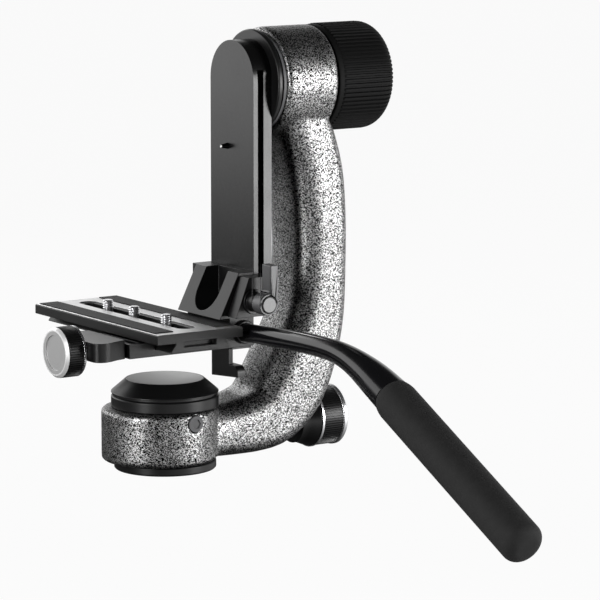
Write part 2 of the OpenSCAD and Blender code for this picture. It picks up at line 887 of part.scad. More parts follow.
module rail_pin() {
    color([0.12, 0.12, 0.13])
    union() {
        translate([rail_x, pin_y, pin_z]) along_x() translate([0, 0, -pin_out])
            rotate_extrude() polygon([[0, 0], [pin_r / 2, 0], [pin_r, pin_out], [0, pin_out]]);
        translate([rail_x, pin_y, pin_z]) along_x() cylinder(r = pin_r, h = pin_seat);
    }
}

// The stop at the rail's lower end: a hooked tongue, its block, and a tab in the rail's groove
stop_tab_y = rail_hw - rail_groove_depth + stop_tab_gap;
stop_tab_len = rail_groove_depth - 2 * stop_tab_gap;
stop_tab_x = front_back_x + stop_tab_gap;
stop_tab_t = rail_groove_w - 2 * stop_tab_gap;

module at_stop_screw() {
    translate([stop_tab_x + stop_tab_t / 2, rail_hw - stop_tab_gap, rail_bottom + stop_screw_rise])
        along_minus_y() children();
}

module rail_stop() {
    color([0.09, 0.09, 0.10])
    difference() {
        union() {
            translate([rail_x, 0, 0]) rotate([90, 0, 90]) linear_extrude(stop_t) polygon(concat(
                [
                    [rail_hw, stop_top_z], [rail_hw, stop_bottom_z],
                    [rail_hw - stop_w, stop_bottom_z + stop_rise]
                ],
                [for (a = [0 : 15 : 90]) [
                    rail_hw - stop_w + stop_round * (1 - cos(a)),
                    stop_top_z - stop_round * (1 - sin(a))
                ]]
            ));
            translate([rail_x, rail_hw - tongue_w, stop_top_z - over])
                cube([rail_front_t, tongue_w, rail_bottom - seat_fit - stop_top_z + over]);
            translate([stop_tab_x, stop_tab_y, stop_top_z - over])
                cube([stop_tab_t, stop_tab_len, stop_tab_top_z - stop_top_z + over]);
            translate([rail_x + rail_front_t - over, stop_tab_y, stop_top_z - over])
                cube([over + stop_tab_gap + over, stop_tab_len, rail_bottom - seat_fit - stop_top_z + over]);
        }
        at_stop_screw() translate([0, 0, -over]) cylinder(r = stop_screw_r + seat_fit, h = stop_screw_len + over);
    }
}

module stop_screw() {
    color([0.55, 0.56, 0.58])
    at_stop_screw()
    difference() {
        cylinder(r = stop_screw_r, h = stop_screw_len);
        translate([0, 0, -over]) cylinder(r = stop_screw_r / 2, h = over + stop_screw_r, $fn = 6);
    }
}

module tilt_inner_races() {
    color([0.78, 0.79, 0.80]) at_tilt_bearings() inner_race();
}

module tilt_balls() {
    color([0.85, 0.86, 0.87]) at_tilt_bearings() ball_ring();
}

tilt_nut_r = 11.5;

module tilt_nut() {
    color([0.50, 0.51, 0.53])
    at_tilt_axis(tilt_bearing_2 + bearing_w)
        tube(tilt_nut_r, spindle_r + seat_fit, tilt_nut_t);
}

// Tilt knob: a core that screws on the shaft, a ribbed grip round it and an end cap
grip_wall = 4;
knob_core_r = tilt_knob_d / 2 - grip_wall;
knob_band_len = 3;
knob_end_round = 9;
rib_depth = 0.9;
knob_cap_inset = 1;
knob_cap_r = tilt_knob_d / 2 - knob_end_round - knob_cap_inset;
knob_cap_t = 1.6;
knob_nose_step = 6;
knob_nose_r = brake_r - knob_nose_step;
knob_nose_x = brake_x + brake_t + run_fit;
rib_len = tilt_knob_len - knob_band_len - knob_end_round;

module tilt_knob_core() {
    color([0.30, 0.30, 0.32])
    difference() {
        union() {
            at_tilt_axis(knob_x) cylinder(r = knob_core_r, h = tilt_knob_len - knob_end_round);
            at_tilt_axis(knob_nose_x) cylinder(r = knob_nose_r, h = knob_x - knob_nose_x);
        }
        at_tilt_axis(knob_nose_x - over)
            cylinder(r = tilt_thread_r + run_fit, h = tilt_shaft_end - knob_nose_x + 2 * over);
    }
}

module tilt_knob_grip() {
    color([0.05, 0.05, 0.05])
    difference() {
        union() {
            at_tilt_axis(knob_x) bevelled(tilt_knob_d / 2 - rib_depth / 2, knob_band_len, small_r / 2);
            at_tilt_axis(knob_x + knob_band_len)
                toothed(tilt_knob_d / 2, rib_len, tilt_knob_ribs, rib_depth);
            at_tilt_axis(knob_end_x - knob_end_round) rotate_extrude() polygon(concat(
                [[0, 0]],
                [for (a = [0 : 15 : 90]) [
                    tilt_knob_d / 2 - rib_depth / 2 - knob_end_round * (1 - cos(a)),
                    knob_end_round * sin(a)
                ]],
                [[0, knob_end_round]]
            ));
        }
        at_tilt_axis(knob_x - over) cylinder(r = knob_core_r + seat_fit, h = tilt_knob_len - knob_end_round + over);
        at_tilt_axis(knob_end_x - knob_cap_t) cylinder(r = knob_cap_r + seat_fit, h = knob_cap_t + over);
    }
}

module tilt_knob_cap() {
    color([0.40, 0.40, 0.42])
    at_tilt_axis(knob_end_x - knob_cap_t) bevelled(knob_cap_r, knob_cap_t, small_r / 2);
}

module tilt_brake_disc() {
    color([0.55, 0.42, 0.20])
    at_tilt_axis(brake_x) tube(brake_r - free_gap, tilt_thread_r + run_fit, brake_t);
}

// Platform side profile, drawn with X across and Z up
module platform_profile() {
    polygon([
        [-leg_reach, leg_bottom_z], [wall_back_x, leg_bottom_z], [wall_back_x, bracket_top],
        [wall_front_x, bracket_top], [rib_foot_x, rib_foot_z], [step_x, rib_foot_z],
        [step_x, leg_top_z + lip_h], [neck_hw + slide_gap + free_gap, leg_top_z + lip_h],
        [foot_hw + slide_gap, leg_top_z + free_gap + small_r], [foot_hw + slide_gap, leg_top_z],
        [-leg_reach, leg_top_z]
    ]);
}

// Extrudes a profile drawn in X and Z along Y, from y_near to y_far
module across(y_near, y_far) {
    translate([0, y_far, 0]) rotate([90, 0, 0]) linear_extrude(y_far - y_near) children();
}

module at_lever_axis(y) {
    translate([lever_x, y, lever_z]) along_minus_y() children();
}

module bracket() {
    color([0.11, 0.11, 0.12])
    difference() {
        union() {
            across(-platform_hw, platform_hw) platform_profile();
            // The leg's end wall with the clamp's thread, and its two cheeks
            translate([-leg_reach, -platform_hw, leg_bottom_z])
                cube([clamp_wall_t, platform_w, clamp_wall_top_z - leg_bottom_z]);
            for (y = [-platform_hw, platform_hw - cheek_t]) translate([-leg_reach, y, leg_bottom_z])
                cube([cheek_end_x + leg_reach, cheek_t, clamp_wall_top_z - leg_bottom_z]);
            // Fixed rail jaw on the lens side, with its lip in the rail's groove
            translate([wall_front_x + small_r, platform_hw - over, pocket_floor_z])
                cube([lip_x + lip_t - wall_front_x - small_r, far_jaw_t + over, bracket_top - pocket_floor_z]);
            translate([lip_x, rail_hw - lip_len, pocket_floor_z])
                cube([lip_t, lip_len + far_jaw_t, bracket_top - pocket_floor_z]);
        }
        // Clearance for the rail's front plate
        translate([wall_back_x, -rail_hw - over, pocket_floor_z - over])
            cube([lip_x - wall_back_x, rail_w + over + slide_gap, bracket_top]);
        // U-shaped pocket, open at the top
        translate([rib_foot_x - over, 0, pocket_floor_z + pocket_r])
            along_x() cylinder(r = pocket_r, h = pocket_cut_len);
        translate([rib_foot_x - over, -pocket_r, pocket_floor_z + pocket_r])
            cube([pocket_cut_len, pocket_w, bracket_top]);
        // Lever's stud, handle's thread and clamp's screw
        at_lever_axis(stud_end_y + run_fit) cylinder(r = stud_r + run_fit, h = platform_w);
        translate([bar_x, bar_tip_y + seat_fit, bar_z]) along_minus_y()
            cylinder(r = bar_screw_r + seat_fit, h = platform_w);
        translate([-leg_reach - over, 0, clamp_screw_z]) along_x()
            cylinder(r = clamp_screw_r + run_fit, h = clamp_screw_in + over + free_gap);
        // The jaw's guide pins run through the wall
        for (side = [-1, 1]) translate([-leg_reach - over, side * guide_y, clamp_screw_z]) along_x()
            cylinder(r = guide_r + run_fit, h = leg_reach + jaw_lip_back_x + 2 * over + free_gap);
    }
}

bar_screw_r = 3.4;
guide_inset = 10;
guide_y = platform_hw - guide_inset;
guide_r = 1.9;
pocket_cut_len = wall_front_x + pocket_depth - rib_foot_x + over;

// Handle: straight bar, bend, flared foot of the grip

module handle_path_end() {
    translate([bar_x, bar_y - bar_len, bar_z - bend_r])
        rotate([bend_angle, 0, 0])
            translate([0, 0, bend_r]) along_minus_y() children();
}

bar_sides = 36;
bend_steps = 9;
flare_steps = 8;

// One ring of the bar: its centre in Y and Z, how far the path has bent there, and the radius
function bar_ring(y, z, bent, r) = [
    for (k = [0 : bar_sides - 1])
        let (a = -360 * k / bar_sides)
        [bar_x + r * cos(a), y - r * sin(a) * sin(bent), z + r * sin(a) * cos(bent)]
];

function bend_ring(bent, r) = bar_ring(
    bar_y - bar_len - bend_r * sin(bent), bar_z - bend_r * (1 - cos(bent)), bent, r
);

// A ring on the straight part past the bend
function past_ring(along, r) = bar_ring(
    bar_y - bar_len - bend_r * sin(bend_angle) - along * cos(bend_angle),
    bar_z - bend_r * (1 - cos(bend_angle)) - along * sin(bend_angle), bend_angle, r
);

module handle_bar() {
    color([0.06, 0.06, 0.07])
    swept(concat(
        [bar_ring(bar_tip_y, bar_z, 0, bar_screw_r), bar_ring(bar_y, bar_z, 0, bar_screw_r)],
        [bar_ring(bar_y, bar_z, 0, bar_d / 2)],
        [for (s = [0 : bend_steps]) bend_ring(bend_angle * s / bend_steps, bar_d / 2)],
        [for (s = [1 : flare_steps])
            past_ring(flare_len * s / flare_steps, mix(bar_d / 2, flare_r, pow(sin(90 * s / flare_steps), 2)))],
        [past_ring(flare_len, bar_d / 2), past_ring(flare_len + grip_len / 2, bar_d / 2)]
    ));
}

module handle_grip() {
    color([0.04, 0.04, 0.04])
    handle_path_end() translate([0, 0, flare_len])
    difference() {
        rotate_extrude() polygon(concat(
            [[0, 0]],
            [for (a = [0 : 15 : 90]) [grip_d / 2 - small_r * (1 - sin(a)), small_r * (1 - cos(a))]],
            [for (a = [0 : 10 : 90]) [
                grip_d / 2 - grip_end_r * (1 - cos(a)),
                grip_len - grip_end_r * (1 - sin(a))
            ]],
            [[0, grip_len]]
        ));
        translate([0, 0, -over]) cylinder(r = bar_d / 2 + seat_fit, h = grip_len / 2 + over + seat_fit);
    }
}

module handle_nut() {
    color([0.10, 0.10, 0.11])
    translate([bar_x, bar_y - seat_fit, bar_z]) along_minus_y()
    difference() {
        bevelled(handle_nut_r, handle_nut_t, small_r);
        translate([0, 0, -over]) cylinder(r = bar_d / 2 + seat_fit, h = handle_nut_t + 2 * over);
    }
}

// Movable rail jaw: the bracket's profile again, shifted past the split
module rail_jaw() {
    color([0.11, 0.11, 0.12])
    difference() {
        union() {
            across(jaw_end_y, jaw_split_y) polygon([
                [wall_front_x + small_r, jaw_top_z], [lip_x + lip_t, jaw_top_z],
                [lip_x + lip_t, jaw_foot_z], [rib_foot_x + jaw_foot_step, jaw_foot_z]
            ]);
            translate([lip_x, jaw_split_y - over, jaw_foot_z])
                cube([lip_t, lip_len + over - slide_gap, jaw_top_z - jaw_foot_z]);
        }
        at_lever_axis(jaw_split_y + over) cylinder(r = stud_r + run_fit, h = jaw_w + 2 * over);
    }
}

module jaw_boss() {
    color([0.16, 0.16, 0.17])
    at_lever_axis(jaw_end_y) {
        tube(boss_r, stud_r + run_fit, boss_len);
        tube(boss_foot_r, boss_r - small_r, boss_foot_t);
    }
}

module lever_button_room() {
    at_lever_axis(lever_y - lever_hub_len + button_pocket)
        cylinder(r = lever_mouth_r, h = button_pocket + over);
}

module lock_lever() {
    color([0.62, 0.62, 0.64])
    difference() {
        union() {
            at_lever_axis(lever_y) bevelled(lever_hub_r, lever_hub_len, small_r);
            translate([lever_x + lever_hub_r - lever_arm_w, lever_y - lever_hub_len, lever_z])
                cube([lever_arm_w, lever_hub_len, lever_arm_len]);
            // The arm grows out of the hub in a concave sweep
            across(lever_y - lever_hub_len, lever_y) difference() {
                translate([lever_x - lever_hub_r + small_r, lever_z])
                    square([lever_hub_r, lever_neck_h]);
                translate([lever_x - lever_neck_sweep + lever_hub_r - lever_arm_w, lever_z + lever_neck_h])
                    circle(r = lever_neck_sweep);
            }
        }
        at_lever_axis(lever_y + over) cylinder(r = stud_r + seat_fit, h = lever_hub_len + 2 * over);
        lever_button_room();
    }
}

lever_neck_h = 11;
lever_neck_sweep = 10.5;

module lever_stud() {
    color([0.70, 0.70, 0.72])
    at_lever_axis(stud_end_y) cylinder(r = stud_r, h = stud_end_y - lever_y + lever_hub_len - button_pocket);
}

button_y = lever_y - lever_hub_len - button_out;

module lever_button() {
    color([0.80, 0.80, 0.82])
    at_lever_axis(button_y + button_h)
    difference() {
        bevelled(button_r, button_h, small_r / 2);
        translate([0, 0, -over]) cylinder(r = button_hollow_r, h = button_h - button_roof_t + over);
    }
}

// A wire wound along +Z: turns of radius r, wire radius w, total length len
spring_ring_steps = 12;
spring_wire_steps = 6;

module coil(r, w, len, turns) {
    last = turns * spring_ring_steps;
    swept([for (i = [0 : last])
        let (turn = 360 * i / spring_ring_steps, z = w + (len - 2 * w) * i / last)
        [for (k = [0 : spring_wire_steps - 1])
            let (a = 360 * k / spring_wire_steps, reach = r + w * cos(a))
            [reach * cos(turn), reach * sin(turn), z + w * sin(a)]]
    ]);
}

module lever_spring() {
    color([0.60, 0.60, 0.62])
    at_lever_axis(lever_y - lever_hub_len + button_pocket) coil(spring_r, spring_wire_r, spring_len, spring_turns);
}

// Clamp jaw: the dovetail lip between the cheeks, two guide pins and the wide nose in front of the knob
jaw_lip_hw = platform_hw - cheek_t - free_gap;
// Shares of the nose's length and of its half width, from the leg's wall outwards
nose_side_shares = [[0, 0.812], [0.25, 0.867], [0.52, 0.967], [0.67, 1]];
nose_corner_steps = 6;

module nose_profile() {
    sides = [for (q = nose_side_shares) [jaw_body_x - q[0] * nose_len, q[1] * nose_hw]];
    polygon(concat(
        sides,
        corner(nose_end_x + nose_round, nose_hw - nose_round, nose_round, 90, nose_corner_steps),
        corner(nose_end_x + nose_round, nose_round - nose_hw, nose_round, 180, nose_corner_steps),
        [for (i = [len(sides) - 1 : -1 : 0]) [sides[i][0], -sides[i][1]]]
    ));
}

module clamp_jaw() {
    color([0.11, 0.11, 0.12])
    difference() {
        union() {
            // Lip over the plate's foot, sliding on the leg
            across(-jaw_lip_hw, jaw_lip_hw) polygon([
                [jaw_lip_back_x, leg_top_z + run_fit], [-foot_hw - slide_gap, leg_top_z + run_fit],
                [-foot_hw - slide_gap, leg_top_z + free_gap + small_r],
                [-neck_hw - slide_gap - free_gap, leg_top_z + lip_h],
                [jaw_lip_back_x, leg_top_z + lip_h]
            ]);
            translate([0, 0, leg_bottom_z]) linear_extrude(nose_top_z - leg_bottom_z) nose_profile();
            for (side = [-1, 1]) translate([jaw_body_x - over, side * guide_y, clamp_screw_z])
                along_x() cylinder(r = guide_r, h = jaw_lip_back_x - jaw_body_x + 2 * over);
        }
        translate([nose_end_x - over, 0, clamp_screw_z]) along_x()
            cylinder(r = clamp_screw_r + run_fit, h = nose_len + 2 * over);
    }
}

module at_clamp_axis(x) {
    translate([x, 0, clamp_screw_z]) along_x() children();
}

module clamp_knob() {
    color([0.08, 0.08, 0.09])
    difference() {
        union() {
            at_clamp_axis(clamp_knob_back_x - clamp_knob_len + face_t)
                toothed(clamp_knob_d / 2, clamp_knob_len - face_t - ring_t, knurl_count, ring_step);
            at_clamp_axis(clamp_knob_back_x - ring_t - over) cylinder(r = clamp_knob_d / 4, h = ring_t + over);
        }
        at_clamp_axis(clamp_knob_back_x - clamp_knob_len + 2 * face_t)
            cylinder(r = clamp_screw_r + seat_fit, h = clamp_knob_len);
    }
}

module clamp_knob_face() {
    color([0.78, 0.78, 0.80])
    at_clamp_axis(clamp_knob_back_x - clamp_knob_len) rotate_extrude() polygon([
        [0, face_t / 2], [face_rim_r - 2 * ring_t, face_t / 2], [face_rim_r - 2 * ring_t, 0],
        [face_rim_r, 0], [clamp_knob_d / 2, face_t], [0, face_t]
    ]);
}

module clamp_knob_ring() {
    color([0.80, 0.80, 0.82])
    at_clamp_axis(clamp_knob_back_x - ring_t) tube(clamp_knob_d / 2, clamp_knob_d / 4 + seat_fit, ring_t);
}

module clamp_screw() {
    color([0.66, 0.67, 0.69])
    at_clamp_axis(clamp_knob_back_x - clamp_knob_len + 2 * face_t + run_fit)
        cylinder(r = clamp_screw_r, h = clamp_knob_len - 2 * face_t - run_fit
            - clamp_knob_back_x - leg_reach + clamp_screw_in);
}

// Quick plate with a dovetail foot, drawn along Y
module plate_profile() {
    polygon([
        [-plate_hw, plate_bottom_z], [-neck_hw, plate_bottom_z],
        [-neck_hw, plate_bottom_z - small_r], [-foot_hw, foot_bottom_z + small_r],
        [-foot_hw, foot_bottom_z], [foot_hw, foot_bottom_z], [foot_hw, foot_bottom_z + small_r],
        [neck_hw, plate_bottom_z - small_r], [neck_hw, plate_bottom_z],
        [plate_hw, plate_bottom_z], [plate_hw, plate_top_z - small_r],
        [plate_hw - small_r, plate_top_z], [small_r - plate_hw, plate_top_z],
        [-plate_hw, plate_top_z - small_r]
    ]);
}

// A slot with round ends, from y_near to y_far
module slot(width, y_near, y_far, depth) {
    linear_extrude(depth) union() {
        translate([-width / 2, y_near + width / 2]) square([width, y_far - y_near - width]);
        translate([0, y_near + width / 2]) circle(r = width / 2);
        translate([0, y_far - width / 2]) circle(r = width / 2);
    }
}

slot_near = slot_inset - plate_back;
slot_far = plate_front - slot_inset + step_rise;

module quick_plate() {
    color([0.13, 0.13, 0.14])
    difference() {
        across(-plate_back, plate_front) plate_profile();
        translate([0, 0, foot_bottom_z - over])
            slot(slot_w, slot_near, slot_far, plate_top_z - foot_bottom_z + 2 * over);
        translate([0, 0, foot_bottom_z - over])
            slot(counter_w, slot_near - slot_w / 2, slot_far + slot_w / 2, counter_depth + over);
        // Shallow recess round the slot
        translate([0, 0, plate_top_z - slot_recess_depth])
            slot(slot_recess_w, slot_near - slot_recess_w / 4, slot_far + slot_recess_w / 4, over);
        // Pocket in each end for a lens foot's stop
        for (y = [-plate_back - over, plate_front - end_pocket_depth])
            translate([-end_pocket_w / 2, y, foot_bottom_z + foot_h / 2])
                cube([end_pocket_w, end_pocket_depth + over, end_pocket_h]);
        // Beds of the two rubber strips
        at_pad_strips() translate([0, 0, plate_top_z - pad_sink])
            cube([pad_strip_w + 2 * seat_fit, pad_strip_len + 2 * seat_fit, over]);
    }
}

pad_strip_len = plate_len - pad_inset - pad_far_inset;

module at_pad_strips() {
    for (x = [-plate_hw + pad_edge, plate_hw - pad_edge - pad_strip_w])
        translate([x - seat_fit, pad_inset - plate_back - seat_fit, 0]) children();
}

module plate_pads() {
    color([0.07, 0.07, 0.07])
    at_pad_strips() translate([seat_fit, seat_fit, plate_top_z - pad_sink])
        cube([pad_strip_w, pad_strip_len, pad_strip_t]);
}

module camera_screw(i) {
    color([0.75, 0.75, 0.77])
    translate([0, mix(-plate_back, plate_front, screw_spots_shares[i]), 0])
    rotate_extrude() polygon([
        [0, screw_head_z], [screw_head_r - small_r, screw_head_z], [screw_head_r, screw_head_z + small_r],
        [screw_head_r, screw_head_z + screw_head_t], [screw_neck_r, screw_head_z + screw_head_t],
        [screw_neck_r, screw_thread_z], [camera_screw_d / 2, screw_thread_z],
        [camera_screw_d / 2, plate_top_z + screw_out - small_r],
        [camera_screw_d / 2 - small_r, plate_top_z + screw_out], [0, plate_top_z + screw_out]
    ]);
}

module camera_screw_1() {
    camera_screw(0);
}

module camera_screw_2() {
    camera_screw(1);
}

module camera_screw_3() {
    camera_screw(2);
}

base_plate();
tripod_insert();
pan_spindle();
base_screws();
pan_inner_races();
pan_balls();
pan_washer();
pan_nut();
c_arm();
pan_outer_races();
bezel_ring();
cap();
cap_disc();
side_plug();
tilt_outer_races();
hub_seal();
pan_knob_collar();
pan_lock_knob();
pan_knob_rings();
pan_lock_rod();
pan_brake_pad();
tilt_shaft();
tilt_disc();
tilt_flange();
swing_rail();
rail_screws();
rail_stop();
stop_screw();
rail_pin();
tilt_inner_races();
tilt_balls();
tilt_nut();
tilt_knob_core();
tilt_knob_grip();
tilt_knob_cap();
tilt_brake_disc();
bracket();
handle_bar();
handle_grip();
handle_nut();
rail_jaw();
jaw_boss();
lock_lever();
lever_stud();
lever_button();
lever_spring();
clamp_jaw();
clamp_knob();
clamp_knob_face();
clamp_knob_ring();
clamp_screw();
quick_plate();
plate_pads();
camera_screw_1();
camera_screw_2();
camera_screw_3();
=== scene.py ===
import math

import bmesh
import bpy
from mathutils import Matrix, Vector


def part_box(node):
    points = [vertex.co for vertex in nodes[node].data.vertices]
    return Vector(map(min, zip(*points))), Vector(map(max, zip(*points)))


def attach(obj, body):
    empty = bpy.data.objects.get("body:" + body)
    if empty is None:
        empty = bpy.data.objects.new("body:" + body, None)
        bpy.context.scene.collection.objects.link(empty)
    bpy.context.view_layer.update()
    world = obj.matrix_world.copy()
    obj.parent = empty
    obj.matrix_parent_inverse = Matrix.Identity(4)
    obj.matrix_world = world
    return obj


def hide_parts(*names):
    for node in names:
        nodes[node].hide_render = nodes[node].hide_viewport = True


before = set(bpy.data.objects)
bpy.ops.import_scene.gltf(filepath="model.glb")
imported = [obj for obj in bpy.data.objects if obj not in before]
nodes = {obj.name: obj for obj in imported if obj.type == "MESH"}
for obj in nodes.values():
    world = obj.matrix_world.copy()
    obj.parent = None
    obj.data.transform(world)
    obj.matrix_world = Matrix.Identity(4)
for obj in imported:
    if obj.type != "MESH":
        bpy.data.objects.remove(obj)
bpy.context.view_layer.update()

# Camera.
# A long lens stands low in front of the head, on the photographer's side, 34 degrees round from the lens direction.
MM = 0.001
film_width, lens_length = 36, 210
nearest_seen, farthest_seen = 0.05, 60
camera_place = Vector((-1009.24, -1630.81, 397.80)) * MM
camera_looks = Vector((0.55231, 0.81883, -0.15643))
camera_data = bpy.data.cameras.new("camera")
camera_data.sensor_width = film_width
camera_data.lens = lens_length
camera_data.clip_start = nearest_seen
camera_data.clip_end = farthest_seen
camera = bpy.data.objects.new("camera", camera_data)
camera.location = camera_place
camera.rotation_euler = camera_looks.to_track_quat("-Z", "Y").to_euler()
bpy.context.scene.collection.objects.link(camera)
bpy.context.scene.camera = camera
bpy.context.scene.view_settings.view_transform = "Standard"


# Studio floor and world.
# A wide pale floor that the camera sees as white, keeping only the soft shadow, and a white world behind it.
class Wire:
    """One output of a shader node, on which Python's operators add Math nodes."""

    def __init__(self, tree, socket):
        self.tree = tree
        self.socket = socket

    def maths(self, operation, *values):
        new = self.tree.nodes.new("ShaderNodeMath")
        new.operation = operation
        for place, value in zip(new.inputs, values):
            plug(self.tree, place, value)
        return Wire(self.tree, new.outputs[0])

    def __add__(self, other):
        return self.maths("ADD", self, other)

    def __radd__(self, other):
        return self.maths("ADD", other, self)

    def __sub__(self, other):
        return self.maths("SUBTRACT", self, other)

    def __mul__(self, other):
        return self.maths("MULTIPLY", self, other)

    def __gt__(self, other):
        return self.maths("GREATER_THAN", self, other)

    def __lt__(self, other):
        return self.maths("LESS_THAN", self, other)

    def most(self, other):
        return self.maths("MAXIMUM", self, other)


def plug(tree, place, value):
    """A socket takes a wire as a link and anything else as its value."""
    if isinstance(value, Wire):
        tree.links.new(value.socket, place)
    else:
        place.default_value = value


def part(tree, kind, settings=(), sockets=(), out=0):
    """Adds a node with its settings first and its sockets after, and gives one of its outputs."""
    new = tree.nodes.new(kind)
    for name, value in dict(settings).items():
        if name == "stops":
            ramp = new.color_ramp
            while len(ramp.elements) < len(value):
                ramp.elements.new(0.5)
            for element, (spot, grey) in zip(ramp.elements, value):
                element.position = spot
                element.color = (grey, grey, grey, 1)
        else:
            setattr(new, name, value)
    for name, value in dict(sockets).items():
        plug(tree, new.inputs[name], value)
    return Wire(tree, new.outputs[out])


def grey_mix(tree, mask, dark, light):
    """Two greys mixed by a mask, as a colour."""
    new = part(tree, "ShaderNodeMix", {"data_type": "RGBA"})
    node = new.socket.node
    plug(tree, node.inputs["Factor"], mask)
    for name, value in (("A", dark), ("B", light)):
        socket = [s for s in node.inputs if s.name == name and s.type == "RGBA"][0]
        if isinstance(value, float):
            value = (value, value, value)
        plug(tree, socket, value if isinstance(value, Wire) else (*value, 1))
    return Wire(tree, [s for s in node.outputs if s.type == "RGBA"][0])


def smooth_step(tree, value, start, end, low=0.0, high=1.0):
    """Goes smoothly from low to high while the value goes from start to end."""
    return part(tree, "ShaderNodeMapRange", {"interpolation_type": "SMOOTHSTEP"},
                {"Value": value, "From Min": start, "From Max": end, "To Min": low, "To Max": high}, "Result")


def along_way(tree, point, way):
    """How far a point lies in a direction."""
    return part(tree, "ShaderNodeVectorMath", {"operation": "DOT_PRODUCT"}, {0: point, 1: way}, "Value")


def light_rays(tree):
    """Masks of the rays from the camera, from mirrors and glass, and from matt faces."""
    seen = part(tree, "ShaderNodeLightPath", out="Is Camera Ray")
    rays = seen.socket.node.outputs
    mirrored = Wire(tree, rays["Is Glossy Ray"]).most(Wire(tree, rays["Is Transmission Ray"]))
    return seen, mirrored, Wire(tree, rays["Is Diffuse Ray"])


def sheet(name, corners):
    """A flat piece with four corners, and its material's tree."""
    mesh = bpy.data.meshes.new(name)
    mesh.from_pydata(corners, [], [(0, 1, 2, 3)])
    piece = bpy.data.objects.new(name, mesh)
    bpy.context.scene.collection.objects.link(piece)
    paint = bpy.data.materials.new(name + "_paint")
    paint.use_nodes = True
    mesh.materials.append(paint)
    return piece, paint.node_tree


square = ((-1, -1), (1, -1), (1, 1), (-1, 1))
floor_drop = 100 * MM
floor_reach = 12
floor, tree = sheet("floor", [(x * floor_reach, y * floor_reach, -floor_drop) for x, y in square])
floor_shader = tree.nodes["Principled BSDF"]
floor_shader.inputs["Base Color"].default_value = (0.8, 0.8, 0.8, 1)
floor_shader.inputs["Roughness"].default_value = 0.9
floor_shader.inputs["Specular IOR Level"].default_value = 0
seen, mirrored, soft_lit = light_rays(tree)
spot = part(tree, "ShaderNodeTexCoord", out="Object")
away = part(tree, "ShaderNodeVectorMath", {"operation": "LENGTH"}, {0: spot}, "Value")
# Mirrors see the floor dark near the head, and bright far off and towards the right softbox
floor_near, floor_far = 0.6, 3.0
floor_dark = 0.04
front_way = (0.62, -0.78, 0.0)
front_near, front_far, front_white = 0.02, 0.45, 1.25
sheen = smooth_step(tree, away, floor_near, floor_far, floor_dark).most(
    smooth_step(tree, along_way(tree, spot, front_way), front_near, front_far, 0.0, front_white))
soft_glow = 0.02
glow = seen.most(mirrored * sheen).most(soft_lit * soft_glow)
glow_colour = grey_mix(tree, glow * (1 / front_white), 0.0, front_white)
glowing = part(tree, "ShaderNodeEmission", (), {"Color": glow_colour}, "Emission")
camera_share, soft_share = 0.95, 0.8
share = (seen * camera_share).most(mirrored).most(soft_lit * soft_share)
floor_mix = part(tree, "ShaderNodeMixShader", (), {0: share, 1: Wire(tree, floor_shader.outputs[0]), 2: glowing})
tree.links.new(floor_mix.socket, tree.nodes["Material Output"].inputs["Surface"])

world = bpy.data.worlds.new("studio")
bpy.context.scene.world = world
world.use_nodes = True
tree = world.node_tree
seen, mirrored, soft_lit = light_rays(tree)
way = part(tree, "ShaderNodeTexCoord", out="Generated")
height = part(tree, "ShaderNodeSeparateXYZ", (), {"Vector": way}, "Z")
# Mirrors see a white backdrop behind the head that fades out sideways and upwards
backdrop_way = (0.559, 0.829, 0.0)
backdrop_edge = 0.25
backdrop_top, backdrop_end = 0.3, 0.65
backdrop = smooth_step(tree, along_way(tree, way, backdrop_way), -backdrop_edge, backdrop_edge)
low_down = smooth_step(tree, height, backdrop_top, backdrop_end, 1.0, 0.0)
room_light = 0.025
room_sheen = 0.05
strength = seen.most(mirrored * (backdrop * low_down * (1 - room_sheen) + room_sheen)).most(room_light)
plug(tree, tree.nodes["Background"].inputs["Color"], grey_mix(tree, strength, 0.0, 1.0))

# Studio lamps.
# Two tall softboxes stand left and right of the camera, and a third hangs behind and above the head.
aim = Vector((30, 0, 120)) * MM


def softbox(name, way, distance, wide, tall, power):
    """A rectangular area lamp in a direction from the head, turned to face it."""
    data = bpy.data.lights.new(name, "AREA")
    data.shape = "RECTANGLE"
    data.size = wide
    data.size_y = tall
    data.energy = power
    lamp = bpy.data.objects.new(name, data)
    lamp.location = aim + Vector(way).normalized() * distance
    lamp.rotation_euler = (aim - lamp.location).to_track_quat("-Z", "Y").to_euler()
    bpy.context.scene.collection.objects.link(lamp)


softbox("softbox_right", (0.62, -0.78, 0.02), 1.3, 0.45, 0.65, 14.5)
softbox("softbox_left", (-0.97, -0.242, 0.12), 1.3, 0.35, 0.7, 13)
softbox("softbox_back", (0.0, 0.9, 0.42), 1.4, 1.2, 0.4, 6)

# Reflection card.
# A white card to the left, which the camera never sees, shades from dark at its foot to bright at its top.
# The rail's face mirrors it.
card_centre = Vector((-330, 560, 220)) * MM
card_aim = Vector((45, 0, 150)) * MM
card_wide, card_tall = 0.9, 0.62
card_way = (card_aim - card_centre).to_2d().normalized()
card_side = Vector((card_way.y, -card_way.x, 0))
card, tree = sheet("card", [
    tuple(card_centre + card_side * (x * card_wide / 2) + Vector((0, 0, z * card_tall / 2))) for x, z in square
])
height = part(tree, "ShaderNodeSeparateXYZ", (), {"Vector": part(tree, "ShaderNodeTexCoord", out="Object")}, "Z")
card_low, card_high = -0.02, 0.17
card_foot, card_light = 0.12, 2.2
card_colour = grey_mix(tree, smooth_step(tree, height, card_low, card_high), card_foot, card_light)
shine = part(tree, "ShaderNodeEmission", (), {"Color": card_colour}, "Emission")
tree.links.new(shine.socket, tree.nodes["Material Output"].inputs["Surface"])
card.visible_diffuse = False
card.visible_camera = False

# Black anodised pieces: base disc, ring, cap, rail, bracket, jaws and plate.
# All are machined aluminium, blasted and anodised black, with their edges broken by a fine chamfer.
black = 0.0045
weld_gap = 0.002 * MM
rail_sheen = 0.36


